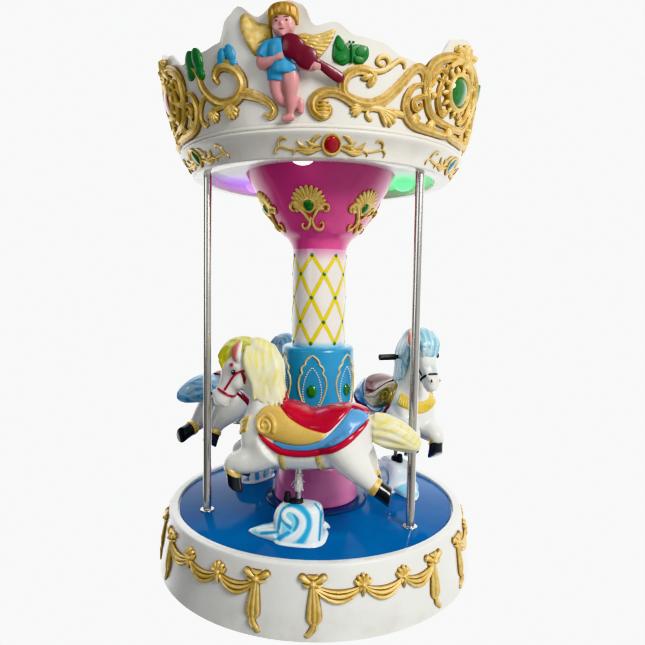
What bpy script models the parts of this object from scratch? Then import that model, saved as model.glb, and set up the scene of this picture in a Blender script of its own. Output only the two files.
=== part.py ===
"""A small fairground carousel with three horses.

Metres, +Z up. The origin is on the ground at the centre of the base, and the
turntable turns about +Z. The layout repeats every 120 degrees. Angles are
measured about +Z from +X, and the front of the carousel faces -Y.
"""

import math

import bpy
import bmesh
from mathutils import Matrix, Vector

# Layout
COPIES = 3
PITCH_DEG = 360 / COPIES
HORSE_DEG = -99.5          # the front horse, and the cherub above it
POLE_DEG = HORSE_DEG + 60  # a pole, and the medallion above it
SEAT = 0.0003              # gap between pieces that touch
RUNNING_GAP = 0.006        # gap beside the turning floor
ROUND_STEPS = 48
COLUMN_STEPS = 24
POLE_STEPS = 12
WALL_STEPS = 12            # columns in each 60 degree panel of the crown wall

# Base
SKIRT_FOOT_R = 0.750
SKIRT_TOP_R = 0.706
SKIRT_HEIGHT = 0.280
SKIRT_WALL = 0.034
RIM_INNER_R = 0.668
RIM_ROUND = 0.012
FLOOR_TOP = 0.268
FLOOR_THICK = 0.025
CHASSIS_HEIGHT = 0.060
PEDESTAL_R = 0.150
ARM_WIDTH = 0.080

# Column
HUB_R = 0.252
HUB_THICK = 0.015
BELL_FOOT_R = 0.208
BELL_NECK_R = 0.168
BELL_TOP = 0.390
DRUM_R = 0.175
DRUM_TOP = 1.030
SHAFT_R = 0.130
SHAFT_TOP = 1.490
CEILING_Z = 1.840

# Crown
BAND_FOOT_R = 0.594
BAND_FOOT_Z = 1.800
CEILING_EDGE_R = 0.530
CEILING_THICK = 0.018
BEAD_R = 0.655
BEAD_Z = 1.890
WALL_FOOT_Z = 1.915
WALL_FOOT_R = 0.650
WALL_SLOPE = 0.225         # outward lean of the crown wall
WALL_THICK = 0.018
CREST_PROFILE = (          # angle from the cherub, height of the wall's top
    (-60, 2.295), (-50, 2.255), (-42, 2.190), (-30, 2.200), (-23, 2.212),
    (-19, 2.285), (-15, 2.314), (-9, 2.268), (-4, 2.300), (0, 2.310), (4, 2.295),
    (7, 2.230), (13, 2.243), (19, 2.205), (26, 2.196), (34, 2.160), (42, 2.148),
    (48, 2.200), (52, 2.270), (60, 2.295))

# Poles and lifts
POLE_PLACE_R = 0.540
POLE_R = 0.019
FLANGE_R = 0.032
HORSE_PLACE_R = 0.445
ROD_R = 0.012
ROD_CLEARANCE = 0.0005
ROD_FOOT_Z = 0.330
ROD_TOP_Z = 0.640
WAVE_TOP = 0.412
GLAND_TOP = 0.428
GLAND_SHIFT = 0.012        # the oval lies towards the rod's front
GLAND_OVAL = (0.034, 0.026)
STOP_SHIFT = 0.046
STOP_SIZE = (0.017, 0.017, 0.022)
BAR_FORWARD = 0.130
BAR_Z = 0.960
BAR_HALF = 0.165
BAR_CORE_R = 0.010
BAR_END = 0.010            # how far each grip reaches past the bar
GRIP_R = 0.016
GRIP_INNER = 0.080
WRAP_LOW = 0.462
WRAP_TOP = 0.540
WRAP_R = 0.019
LAMP_PLACE_R = 0.450
LAMP_R = 0.052
LAMP_DROP = 0.034

# Garlands: tassel, swag, bow, swag, bow, swag, tassel
GARLANDS = 6
GARLAND_DEG = -68.0        # centre of the front garland
KNOT_STEP_DEG = 14.0
KNOT_Z = 0.205
SWAG_SAG = 0.052
SWAG_SPANS = 6
SWAG_R = 0.013
BOW_HALF = 0.034
TASSEL_HEIGHTS = (0.215, 0.095, 0.075, 0.030)
TASSEL_RADII = (0.011, 0.022, 0.012, 0.011)

# Turned outlines: radius, height
FUNNEL_PROFILE = (
    (SHAFT_R, SHAFT_TOP), (0.155, 1.540), (0.181, 1.560), (0.253, 1.656),
    (0.289, 1.723), (0.323, 1.778), (0.356, CEILING_Z - SEAT))

# Waves: forward, height, half width
WAVE_CENTRE = 0.004
WAVE_OUTLINE = (
    (0.217, FLOOR_TOP + SEAT, 0.010), (0.217, 0.282, 0.006), (0.170, 0.300, 0.030),
    (0.125, 0.312, 0.050), (0.102, 0.328, 0.062), (0.104, 0.358, 0.066), (0.088, 0.390, 0.062),
    (0.055, WAVE_TOP - 0.005, 0.056), (0.020, WAVE_TOP, 0.054), (-0.050, WAVE_TOP, 0.054),
    (-0.088, 0.402, 0.056), (-0.108, 0.374, 0.064), (-0.114, 0.330, 0.078),
    (-0.114, FLOOR_TOP + SEAT, 0.094), (0.090, FLOOR_TOP + SEAT, 0.090))

# Horses rock about a pivot over the lift rod: forward and height of the pivot, nose up
ROCK_PIVOT = (-0.060, 0.740)
ROCK_DEG = (0.0, 4.0, -13.0)

# Horses, from the lift rod. Torso and saddle: forward, height, half width, half depth
TORSO = (
    (0.252, 0.705, 0.030, 0.050), (0.238, 0.700, 0.070, 0.100), (0.190, 0.700, 0.098, 0.148),
    (0.110, 0.695, 0.114, 0.152), (0.000, 0.680, 0.120, 0.126), (-0.100, 0.682, 0.120, 0.120),
    (-0.190, 0.712, 0.118, 0.130), (-0.260, 0.735, 0.100, 0.104), (-0.300, 0.742, 0.062, 0.066))
SADDLE = (
    (0.150, 0.745, 0.106, 0.085), (0.085, 0.735, 0.126, 0.125), (0.030, 0.715, 0.130, 0.105),
    (-0.110, 0.715, 0.130, 0.090), (-0.200, 0.745, 0.128, 0.102), (-0.275, 0.765, 0.100, 0.078))
# Neck and head: forward, height, half length, half width
NECK = (
    (0.135, 0.780, 0.108, 0.080), (0.150, 0.860, 0.092, 0.058), (0.155, 0.950, 0.082, 0.048),
    (0.180, 1.030, 0.080, 0.046), (0.212, 1.085, 0.058, 0.034), (0.225, 1.106, 0.026, 0.016))
HEAD = (
    (0.262, 1.085, 0.050, 0.036), (0.284, 1.040, 0.064, 0.052), (0.298, 0.960, 0.060, 0.056),
    (0.322, 0.890, 0.050, 0.042), (0.346, 0.835, 0.042, 0.036), (0.352, 0.808, 0.026, 0.024))
# Limbs: forward, outward, height, radius
THROAT = ((0.190, 0, 0.930, 0.050), (0.250, 0, 0.915, 0.056), (0.300, 0, 0.895, 0.040))
EAR = ((0.256, 0.038, 1.015, 0.018), (0.246, 0.042, 1.055, 0.016), (0.236, 0.040, 1.096, 0.004))
NEAR_FORELEG = (
    (0.130, 0.058, 0.652, 0.084), (0.185, 0.064, 0.610, 0.064), (0.240, 0.066, 0.590, 0.048),
    (0.266, 0.066, 0.560, 0.038), (0.264, 0.066, 0.520, 0.037), (0.253, 0.066, 0.482, 0.036))
FAR_FORELEG = (
    (0.140, -0.058, 0.668, 0.080), (0.200, -0.066, 0.630, 0.060), (0.254, -0.066, 0.612, 0.046),
    (0.278, -0.066, 0.586, 0.038), (0.274, -0.066, 0.546, 0.037), (0.262, -0.066, 0.508, 0.036))
NEAR_HINDLEG = (
    (-0.175, 0.060, 0.700, 0.092), (-0.225, 0.068, 0.630, 0.074), (-0.275, 0.070, 0.572, 0.050),
    (-0.322, 0.070, 0.531, 0.036), (-0.384, 0.070, 0.489, 0.037))
FAR_HINDLEG = (
    (-0.185, -0.060, 0.705, 0.092), (-0.238, -0.068, 0.640, 0.072), (-0.282, -0.070, 0.582, 0.048),
    (-0.298, -0.070, 0.530, 0.036), (-0.318, -0.070, 0.474, 0.037))
TAIL = (
    (-0.240, 0, 0.760, 0.055), (-0.320, 0, 0.748, 0.060), (-0.400, 0, 0.725, 0.056),
    (-0.465, 0, 0.698, 0.038), (-0.500, 0, 0.680, 0.014))

# Child figure, drawn flat: right, outward as a negative number, height, radius
FIGURE_LEG_BENT = (
    (-0.045, -0.018, 2.080, 0.030), (-0.056, -0.020, 2.030, 0.022), (-0.022, -0.012, 1.960, 0.014))
FIGURE_LEG_STRAIGHT = (
    (-0.005, -0.022, 2.080, 0.030), (0.006, -0.022, 2.010, 0.024),
    (-0.004, -0.014, 1.960, 0.017), (-0.012, -0.014, 1.925, 0.015))
FIGURE_ARM = (
    (-0.078, -0.020, 2.150, 0.026), (-0.100, -0.030, 2.120, 0.021), (-0.030, -0.050, 2.120, 0.014))
FIGURE_VIOLIN = (
    (-0.040, -0.040, 2.140, 0.028), (0.030, -0.050, 2.125, 0.036),
    (0.080, -0.045, 2.105, 0.020), (0.185, -0.026, 2.062, 0.016))
FIGURE_LEFT_WING = (
    (-0.030, -0.006, 2.175, 0.026), (-0.120, -0.004, 2.215, 0.052), (-0.170, -0.004, 2.262, 0.024))
FIGURE_RIGHT_WING = (
    (0.000, -0.006, 2.185, 0.016), (0.085, -0.004, 2.170, 0.040), (0.145, -0.004, 2.210, 0.010))
WING_FLATNESS = 0.4

# Medallion, on the crown wall
MEDALLION_Z = 2.095
FRAME_Z = 2.075
FRAME_HALF = (0.235, 0.125)
STONE_RING_HALF = 0.088
STONE_SIZE = (0.074, 0.032, 0.076)
SPOKES_DEG = (20, 90, 160, 270)


def clear_scene():
    for item in list(bpy.data.objects):
        bpy.data.objects.remove(item, do_unlink=True)


def material(name, colour, roughness, metallic=0.0):
    made = bpy.data.materials.new(name)
    made.use_nodes = True
    shader = made.node_tree.nodes["Principled BSDF"]
    shader.inputs["Base Color"].default_value = (*colour, 1.0)
    shader.inputs["Roughness"].default_value = roughness
    shader.inputs["Metallic"].default_value = metallic
    return made


def polar(angle_deg, radius, z=0.0):
    angle = math.radians(angle_deg)
    return Vector((radius * math.cos(angle), radius * math.sin(angle), z))


def wall_radius(z):
    return WALL_FOOT_R + WALL_SLOPE * (z - WALL_FOOT_Z)


def skirt_radius(z):
    return SKIRT_FOOT_R + (SKIRT_TOP_R - SKIRT_FOOT_R) * z / SKIRT_HEIGHT


def crest_height(angle_deg):
    """Height of the crown wall's top edge, which repeats at each horse."""
    offset = (angle_deg - HORSE_DEG + 60) % PITCH_DEG - 60
    for (a0, z0), (a1, z1) in zip(CREST_PROFILE, CREST_PROFILE[1:]):
        if offset <= a1:
            share = (offset - a0) / (a1 - a0)
            return z0 + (z1 - z0) * (3 - 2 * share) * share ** 2
    return CREST_PROFILE[-1][1]


# Closed shapes, each as (vertices, faces)
def loft(rings, closed=False):
    """Skin a row of rings with equal counts; open rows get fanned ends."""
    count = len(rings[0])
    points = [Vector(p) for ring in rings for p in ring]
    faces = []
    spans = len(rings) if closed else len(rings) - 1
    for i in range(spans):
        a, b = i * count, (i + 1) % len(rings) * count
        for j in range(count):
            k = (j + 1) % count
            faces.append((a + j, a + k, b + k, b + j))
    if not closed:
        for start, order in ((0, -1), ((len(rings) - 1) * count, 1)):
            ring = points[start:start + count]
            points.append(sum(ring, Vector()) / count)
            for j in range(count):
                faces.append((start + j, start + (j + 1) % count, len(points) - 1)[::order])
    return points, faces


def revolve(profile, steps=ROUND_STEPS, phase_deg=0.0):
    """Turn a closed (radius, z) outline about Z; radius 0 makes a solid core."""
    points, rows = [], []
    for radius, z in profile:
        if radius == 0:
            rows.append([len(points)] * steps)
            points.append(Vector((0, 0, z)))
            continue
        rows.append(list(range(len(points), len(points) + steps)))
        points += [polar(phase_deg + 360 * i / steps, radius, z) for i in range(steps)]
    faces = []
    for i, row in enumerate(rows):
        other = rows[(i + 1) % len(rows)]
        for j in range(steps):
            k = (j + 1) % steps
            corners = list(dict.fromkeys((row[j], row[k], other[k], other[j])))
            if len(corners) > 2:
                faces.append(tuple(corners))
    return points, faces


def disc(radius, low, high, steps=ROUND_STEPS):
    return revolve([(0, low), (radius, low), (radius, high), (0, high)], steps)


def ring_about(centre, along, half_wide, half_tall, up, sides):
    """An ellipse of points square to a direction."""
    side = up.cross(along).normalized()
    top = along.cross(side).normalized()
    turns = [2 * math.pi * j / sides for j in range(sides)]
    return [centre + side * half_wide * math.cos(t) + top * half_tall * math.sin(t) for t in turns]


def tube(path, radii, sides=5, up=Vector((0, 1, 0)), flatten=1.0):
    """A bar along a path; radii is one value or one for each point, and flatten thins it along up."""
    path = [Vector(p) for p in path]
    if not hasattr(radii, "__len__"):
        radii = [radii] * len(path)
    rings = []
    for i, centre in enumerate(path):
        along = path[min(i + 1, len(path) - 1)] - path[max(i - 1, 0)]
        rings.append(ring_about(centre, along, radii[i], radii[i] * flatten, up, sides))
    return loft(rings)


def hoop(centre, half_wide, half_tall, radius, steps=12, sides=5):
    """A closed elliptical bar in the X-Z plane."""
    rings = []
    for i in range(steps):
        turn = 2 * math.pi * i / steps
        out = Vector((math.cos(turn), 0, math.sin(turn)))
        place = Vector(centre) + Vector((half_wide * out.x, 0, half_tall * out.z))
        angles = [2 * math.pi * j / sides for j in range(sides)]
        rings.append([place + out * radius * math.cos(a) + Vector((0, radius * math.sin(a), 0))
                      for a in angles])
    return loft(rings, closed=True)


def ellipsoid(centre, size, steps=8, rows=5):
    """size is the three half lengths."""
    points = [Vector((0, 0, -1))]
    for i in range(1, rows):
        lat = math.pi * i / rows
        points += [Vector((math.sin(lat) * math.cos(2 * math.pi * j / steps),
                           math.sin(lat) * math.sin(2 * math.pi * j / steps), -math.cos(lat)))
                   for j in range(steps)]
    points.append(Vector((0, 0, 1)))
    last = len(points) - 1
    faces = [(0, 1 + (j + 1) % steps, 1 + j) for j in range(steps)]
    for i in range(rows - 2):
        a, b = 1 + i * steps, 1 + (i + 1) * steps
        faces += [(a + j, a + (j + 1) % steps, b + (j + 1) % steps, b + j) for j in range(steps)]
    top = last - steps
    faces += [(top + j, top + (j + 1) % steps, last) for j in range(steps)]
    scale = Vector(size)
    return [Vector(centre) + p * scale for p in points], faces


def moved(shape, move):
    points, faces = shape
    return [move(p) for p in points], faces


# Objects
def to_mesh(name, shape):
    """A mesh with its faces pointing out."""
    points, faces = shape
    mesh = bpy.data.meshes.new(name)
    mesh.from_pydata([tuple(p) for p in points], [], faces)
    form = bmesh.new()
    form.from_mesh(mesh)
    bmesh.ops.recalc_face_normals(form, faces=form.faces)
    form.to_mesh(mesh)
    form.free()
    return mesh


def place(name, mesh, finish, parent=None, crease_deg=40):
    mesh.materials.clear()
    mesh.materials.append(finish)
    mesh.shade_smooth()
    mesh.set_sharp_from_angle(angle=math.radians(crease_deg))
    made = bpy.data.objects.new(name, mesh)
    bpy.context.scene.collection.objects.link(made)
    made.parent = parent
    return made


def fuse(name, shapes, cuts=(), solver="EXACT"):
    """Join overlapping shapes into one solid, then take the cuts out of it."""
    parts = []
    for i, shape in enumerate([*shapes, *cuts]):
        part = bpy.data.objects.new(f"{name}_part_{i}", to_mesh(name, shape))
        bpy.context.scene.collection.objects.link(part)
        parts.append(part)
    for i, part in enumerate(parts[1:], 1):
        step = parts[0].modifiers.new("join", "BOOLEAN")
        step.operation = "UNION" if i < len(shapes) else "DIFFERENCE"
        step.object = part
        step.solver = solver
    bpy.context.view_layer.update()
    result = parts[0].evaluated_get(bpy.context.evaluated_depsgraph_get())
    mesh = bpy.data.meshes.new_from_object(result)
    for part in parts:
        bpy.data.objects.remove(part, do_unlink=True)
    mesh.name = name
    keep_outer_shell(mesh)
    return mesh


def keep_outer_shell(mesh):
    """Fill the tiny pockets that are left where several shapes meet."""
    form = bmesh.new()
    form.from_mesh(mesh)
    shells, seen = [], set()
    for seed in form.verts:
        if seed in seen:
            continue
        shell, front = {seed}, [seed]
        while front:
            for edge in front.pop().link_edges:
                fresh = [v for v in edge.verts if v not in shell]
                shell.update(fresh)
                front += fresh
        seen |= shell
        shells.append(shell)
    largest = max(shells, key=len)
    bmesh.ops.delete(form, geom=[v for v in form.verts if v not in largest], context="VERTS")
    form.to_mesh(mesh)
    form.free()


def axis_empty(name, location=(0, 0, 0), turn_deg=0.0):
    empty = bpy.data.objects.new(name, None)
    bpy.context.scene.collection.objects.link(empty)
    empty.location = location
    empty.rotation_euler = (0, 0, math.radians(turn_deg))
    return empty


# Base
def build_base(white, steel, gold):
    foot_in, rim_low = SKIRT_FOOT_R - SKIRT_WALL, SKIRT_HEIGHT - RIM_ROUND
    skirt = [(SKIRT_FOOT_R, 0), (skirt_radius(rim_low), rim_low),
             (SKIRT_TOP_R - RIM_ROUND * 0.4, SKIRT_HEIGHT - RIM_ROUND * 0.2),
             (SKIRT_TOP_R - RIM_ROUND, SKIRT_HEIGHT), (RIM_INNER_R + RIM_ROUND / 2, SKIRT_HEIGHT),
             (RIM_INNER_R, SKIRT_HEIGHT - RIM_ROUND / 2), (RIM_INNER_R, SKIRT_HEIGHT * 0.7),
             (foot_in, 0)]
    place("skirt", to_mesh("skirt", revolve(skirt)), white)

    pedestal = disc(PEDESTAL_R, 0, FLOOR_TOP - FLOOR_THICK - SEAT, 16)
    wall_in = foot_in + (RIM_INNER_R - foot_in) * CHASSIS_HEIGHT / (SKIRT_HEIGHT * 0.7)
    flat_in = wall_in * math.cos(math.pi / ROUND_STEPS) - SEAT
    arm_reach = math.sqrt(flat_in ** 2 - (ARM_WIDTH / 2) ** 2)
    arms = []
    for i in range(COPIES):
        turn = Matrix.Rotation(math.radians(POLE_DEG + PITCH_DEG * i), 4, "Z")
        corners = ((0, -1), (1, -1), (1, 1), (0, 1))
        rings = [[turn @ Vector((x * arm_reach, y * ARM_WIDTH / 2, z)) for x, y in corners]
                 for z in (0, CHASSIS_HEIGHT)]
        arms.append(loft(rings))
    place("chassis", fuse("chassis", [pedestal, *arms]), steel)

    for i in range(GARLANDS):
        build_garland(i, gold)


def garland_shapes(centre_deg):
    def at(angle_deg, z, proud=0.0):
        return polar(angle_deg, skirt_radius(z) + proud, z)

    shapes = []
    knots = [centre_deg + KNOT_STEP_DEG * (i - 1.5) for i in range(4)]
    for left, right in zip(knots, knots[1:]):
        path = []
        for j in range(SWAG_SPANS + 1):
            share = j / SWAG_SPANS
            z = KNOT_Z - SWAG_SAG * math.sin(math.pi * share)
            path.append(at(left + (right - left) * share, z, 0.002))
        radii = [SWAG_R * (0.7 + 0.6 * math.sin(math.pi * j / SWAG_SPANS))
                 for j in range(SWAG_SPANS + 1)]
        shapes.append(tube(path, radii, up=Vector((0, 0, 1))))
    for i, knot in enumerate(knots):
        bow = at(knot, KNOT_Z + 0.015, 0.002)
        across = (at(knot + 1, KNOT_Z) - at(knot - 1, KNOT_Z)).normalized()
        shapes.append(tube([bow - across * BOW_HALF, bow, bow + across * BOW_HALF],
                           [0.010, 0.016, 0.010], up=Vector((0, 0, 1))))
        if i in (0, 3):
            shapes.append(tube([at(knot, z, 0.001) for z in TASSEL_HEIGHTS], TASSEL_RADII,
                               up=Vector((0, 1, 0.3))))
    return shapes


def build_garland(index, gold):
    centre = GARLAND_DEG + 60 * index
    heights = (-0.02, SKIRT_HEIGHT + 0.03)
    face = [(skirt_radius(z) + SEAT * 1.2, z) for z in heights]
    core = [(0.2, heights[0]), *face, (0.2, heights[-1])]
    name = f"garland_{index + 1}"
    place(name, fuse(name, garland_shapes(centre), [revolve(core)], "MANIFOLD"), gold)


# Turntable
def build_floor(parent, blue, dark):
    radius = RIM_INNER_R * math.cos(math.pi / ROUND_STEPS) - RUNNING_GAP
    floor = disc(radius, FLOOR_TOP - FLOOR_THICK, FLOOR_TOP)
    place("floor_disc", to_mesh("floor_disc", floor), blue, parent)
    low = FLOOR_TOP + SEAT
    hub = revolve([(0, low), (HUB_R, low), (HUB_R, low + HUB_THICK * 0.6),
                   (HUB_R - 0.008, low + HUB_THICK), (0, low + HUB_THICK)], COLUMN_STEPS)
    place("hub_disc", to_mesh("hub_disc", hub), dark, parent)


def build_column(parent, pink, blue, white, magenta):
    foot = FLOOR_TOP + SEAT + HUB_THICK + SEAT
    bell = [(0, foot), (BELL_FOOT_R - 0.006, foot), (BELL_FOOT_R, foot + 0.008)]
    for i in range(1, 5):
        turn = math.pi / 2 * i / 4
        bell.append((BELL_NECK_R + (BELL_FOOT_R - BELL_NECK_R) * math.cos(turn),
                     foot + 0.020 + (BELL_TOP - foot - 0.020) * math.sin(turn) ** 0.7))
    bell.append((0, BELL_TOP))
    place("bell", to_mesh("bell", revolve(bell, COLUMN_STEPS)), pink, parent)

    low = BELL_TOP + SEAT
    drum = [(0, low), (DRUM_R - 0.004, low), (DRUM_R, low + 0.006), (DRUM_R, DRUM_TOP - 0.022),
            (DRUM_R - 0.006, DRUM_TOP - 0.007), (DRUM_R - 0.020, DRUM_TOP), (0, DRUM_TOP)]
    place("drum", to_mesh("drum", revolve(drum, COLUMN_STEPS)), blue, parent)
    shaft = disc(SHAFT_R, DRUM_TOP + SEAT, SHAFT_TOP - SEAT, COLUMN_STEPS)
    place("shaft", to_mesh("shaft", shaft), white, parent)

    funnel = [(0, SHAFT_TOP)] + list(FUNNEL_PROFILE) + [(0, CEILING_Z - SEAT)]
    place("funnel", to_mesh("funnel", revolve(funnel, COLUMN_STEPS)), magenta, parent)


def build_poles(parent, steel):
    foot, top = FLOOR_TOP + SEAT, CEILING_Z - 2 * SEAT
    pole = [(0, foot), (FLANGE_R, foot), (FLANGE_R, foot + 0.006), (POLE_R, foot + 0.010),
            (POLE_R, top), (0, top)]
    mesh = to_mesh("pole", revolve(pole, POLE_STEPS))
    for i in range(COPIES):
        made = place(f"pole_{i + 1}", mesh, steel, parent)
        made.location = polar(POLE_DEG + PITCH_DEG * i, POLE_PLACE_R)


# Crown
def build_ceiling(parent, white, lamp_white):
    top = CEILING_Z + CEILING_THICK
    ceiling = disc(CEILING_EDGE_R, CEILING_Z, top)
    place("crown_ceiling", to_mesh("crown_ceiling", ceiling), white, parent)

    seat_r = CEILING_EDGE_R + SEAT
    band = [(seat_r, CEILING_Z - SEAT), (CEILING_EDGE_R + 0.010, BAND_FOOT_Z + 0.002),
            (BAND_FOOT_R - 0.008, BAND_FOOT_Z), (BAND_FOOT_R + 0.003, BAND_FOOT_Z + 0.010),
            (0.619, 1.843), (BEAD_R, BEAD_Z - 0.004), (BEAD_R - 0.003, BEAD_Z + 0.014),
            (WALL_FOOT_R, WALL_FOOT_Z - SEAT), (WALL_FOOT_R - 0.030, WALL_FOOT_Z - SEAT),
            (BAND_FOOT_R - 0.012, top), (seat_r, top)]
    sink = disc(POLE_R + SEAT, CEILING_Z - 0.1, CEILING_Z - SEAT, POLE_STEPS)
    cuts = []
    for i in range(COPIES):
        shift = polar(POLE_DEG + PITCH_DEG * i, POLE_PLACE_R)
        cuts.append(moved(sink, lambda p, shift=shift: p + shift))
    place("crown_band", fuse("crown_band", [revolve(band)], cuts), white, parent)

    dome = [(0, CEILING_Z - LAMP_DROP), (LAMP_R * 0.58, CEILING_Z - LAMP_DROP * 0.82),
            (LAMP_R * 0.92, CEILING_Z - LAMP_DROP * 0.41), (LAMP_R, CEILING_Z - SEAT),
            (0, CEILING_Z - SEAT)]
    mesh = to_mesh("lamp", revolve(dome, 16))
    for i in range(COPIES):
        made = place(f"lamp_{i + 1}", mesh, lamp_white, parent)
        made.location = polar(HORSE_DEG + PITCH_DEG * i, LAMP_PLACE_R)


def build_crown_walls(parent, white):
    """Six panels: those of odd number carry a cherub, the others a medallion."""
    half = 30 - math.degrees(SEAT / 2 / WALL_FOOT_R)
    for i in range(6):
        centre = HORSE_DEG + 60 * i
        rings = []
        for j in range(WALL_STEPS + 1):
            angle = centre - half + 2 * half * j / WALL_STEPS
            top = crest_height(angle)
            mid = (WALL_FOOT_Z + top) / 2
            outer = [(wall_radius(z), z) for z in (WALL_FOOT_Z, mid, top - 0.006)]
            inner = [(wall_radius(z) - WALL_THICK, z) for z in (top - 0.006, mid, WALL_FOOT_Z)]
            ridge = [(wall_radius(top) - WALL_THICK / 2, top)]
            rings.append([polar(angle, r, z) for r, z in outer + ridge + inner])
        name = f"crown_wall_{i + 1}"
        place(name, to_mesh(name, loft(rings)), white, parent)


def on_wall(centre_deg, proud=0.0):
    """Bend a flat drawing, X to the right, -Y outward and Z up, on to the crown wall."""
    def bend(p):
        radius = wall_radius(p.z) + proud - p.y
        return polar(centre_deg + math.degrees(p.x / wall_radius(2.1)), radius, p.z)
    return bend


def wall_core():
    """The wall's outer face as a solid, to cut the backs of what lies on it."""
    heights = (1.85, 2.40)
    face = [(wall_radius(z) + SEAT, z) for z in heights]
    return revolve([(0.3, heights[0]), *face, (0.3, heights[-1])], 6 * WALL_STEPS, HORSE_DEG - 30)


def limb(route, sides=5, up=Vector((0, 1, 0)), flatten=1.0):
    """A bar along a route of points, each with its radius as a fourth number."""
    return tube([p[:3] for p in route], [p[3] for p in route], sides, up, flatten)


def cherub_shapes():
    """A plain winged child figure that plays a violin."""
    return [
        ellipsoid((0, -0.035, 2.232), (0.050, 0.042, 0.053)),
        ellipsoid((-0.020, -0.020, 2.145), (0.056, 0.034, 0.056)),
        ellipsoid((-0.030, -0.018, 2.085), (0.046, 0.032, 0.042)),
        limb(FIGURE_LEG_BENT), limb(FIGURE_LEG_STRAIGHT), limb(FIGURE_ARM), limb(FIGURE_VIOLIN),
        limb(FIGURE_LEFT_WING, flatten=WING_FLATNESS), limb(FIGURE_RIGHT_WING, flatten=WING_FLATNESS),
    ]


def medallion_shapes():
    """A gold openwork crest round an oval stone."""
    shapes = [hoop((0, -0.010, FRAME_Z), *FRAME_HALF, 0.020),
              hoop((0, -0.024, MEDALLION_Z), STONE_RING_HALF, STONE_RING_HALF, 0.018),
              ellipsoid((0, -0.022, MEDALLION_Z), STONE_SIZE)]
    for turn_deg in SPOKES_DEG:
        x, z = math.cos(math.radians(turn_deg)), math.sin(math.radians(turn_deg))
        inner = (0.080 * x, -0.018, MEDALLION_Z + 0.080 * z)
        outer = (FRAME_HALF[0] * x, -0.010, FRAME_Z + FRAME_HALF[1] * z)
        shapes.append(tube([inner, outer], 0.013))
    finial = ((0, -0.012, 2.180, 0.034), (-0.012, -0.018, 2.235, 0.046), (-0.020, -0.014, 2.272, 0.018))
    shapes.append(limb(finial, flatten=0.5))
    return shapes


def build_crests(parent, skin, gold):
    core = wall_core()
    for i in range(COPIES):
        for kind, shapes, centre, finish in (("cherub", cherub_shapes(), HORSE_DEG, skin),
                                             ("medallion", medallion_shapes(), POLE_DEG, gold)):
            name = f"{kind}_{i + 1}"
            bent = [moved(shape, on_wall(centre + PITCH_DEG * i)) for shape in shapes]
            place(name, fuse(name, bent, [core], "MANIFOLD"), finish, parent)


# Waves under the horses. Local X is the way the horse heads, Y points outward.
def wave_mesh():
    rings = [[(x, WAVE_CENTRE + side * half, z) for x, z, half in WAVE_OUTLINE] for side in (-1, 1)]
    return fuse("wave", [loft(rings)], [disc(ROD_R + 0.004, 0.2, 0.5, 16)])


def gland_mesh():
    """A rubber oval round the rod with a round stop beside it."""
    low = WAVE_TOP + SEAT
    wide, deep = GLAND_OVAL
    oval = []
    for z, grow in ((low, 0.0), (low + 0.008, 0.0), (GLAND_TOP - 0.004, -0.006)):
        turns = [2 * math.pi * j / POLE_STEPS for j in range(POLE_STEPS)]
        oval.append([(GLAND_SHIFT + (wide + grow) * math.cos(t), (deep + grow) * math.sin(t), z)
                     for t in turns])
    boss = disc(ROD_R + 0.007, low, GLAND_TOP, POLE_STEPS)
    bore = disc(ROD_R + ROD_CLEARANCE, low - 0.03, low + 0.07, POLE_STEPS)
    knob = ellipsoid((STOP_SHIFT, 0, low + 0.020), STOP_SIZE)
    floor_cut = disc(0.2, low - 0.1, low, 16)
    return fuse("gland", [loft(oval), boss, knob], [bore, floor_cut], "MANIFOLD")


def build_waves(parent, pale_blue, rubber):
    wave, gland = wave_mesh(), gland_mesh()
    for i in range(COPIES):
        angle = HORSE_DEG + PITCH_DEG * i
        for kind, mesh, finish in (("wave", wave, pale_blue), ("gland", gland, rubber)):
            made = place(f"{kind}_{i + 1}", mesh, finish, parent)
            made.location = polar(angle, HORSE_PLACE_R)
            made.rotation_euler = (0, 0, math.radians(angle - 90))


# Horses. Local X is forward, Y points outward from the carousel, Z is up.
def horse_shapes():
    forward, up, outward = Vector((1, 0, 0)), Vector((0, 0, 1)), Vector((0, 1, 0))
    down_face = Vector((0.3, 0, -1))

    def sections(outline, along, across, sides):
        return loft([ring_about(Vector((x, 0, z)), along, a, b, across, sides)
                     for x, z, a, b in outline])

    shapes = [sections(TORSO, forward, up, 10), sections(NECK, up, outward, 8),
              sections(HEAD, down_face, outward, 8), limb(THROAT, 6)]
    for side in (-1, 1):
        shapes.append(limb([(x, y * side, z, r) for x, y, z, r in EAR]))
    shapes += [limb(route, 6) for route in
               (NEAR_FORELEG, FAR_FORELEG, NEAR_HINDLEG, FAR_HINDLEG, TAIL)]
    shapes.append(sections(SADDLE, -forward, up, 10))
    return shapes


def rocked(degrees):
    """Turn a horse in its side view, nose up where positive."""
    turn = math.radians(degrees)

    def rock(p):
        ahead, above = p[0] - ROCK_PIVOT[0], p[2] - ROCK_PIVOT[1]
        return Vector((ROCK_PIVOT[0] + ahead * math.cos(turn) - above * math.sin(turn), p[1],
                       ROCK_PIVOT[1] + ahead * math.sin(turn) + above * math.cos(turn)))
    return rock


def cross_bar(radius, half, sides=10):
    ends = [Vector((BAR_FORWARD, side * half, BAR_Z)) for side in (-1, 1)]
    return tube(ends, radius, sides, Vector((0, 0, 1)))


def horse_mesh(name, rock, has_bar):
    socket = disc(ROD_R + SEAT, WAVE_TOP, ROD_TOP_Z + SEAT, POLE_STEPS)
    cuts = [socket]
    if has_bar:
        cuts.append(moved(cross_bar(BAR_CORE_R + SEAT, 2 * BAR_HALF), rock))
    return fuse(name, [moved(shape, rock) for shape in horse_shapes()], cuts, "MANIFOLD")


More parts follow.
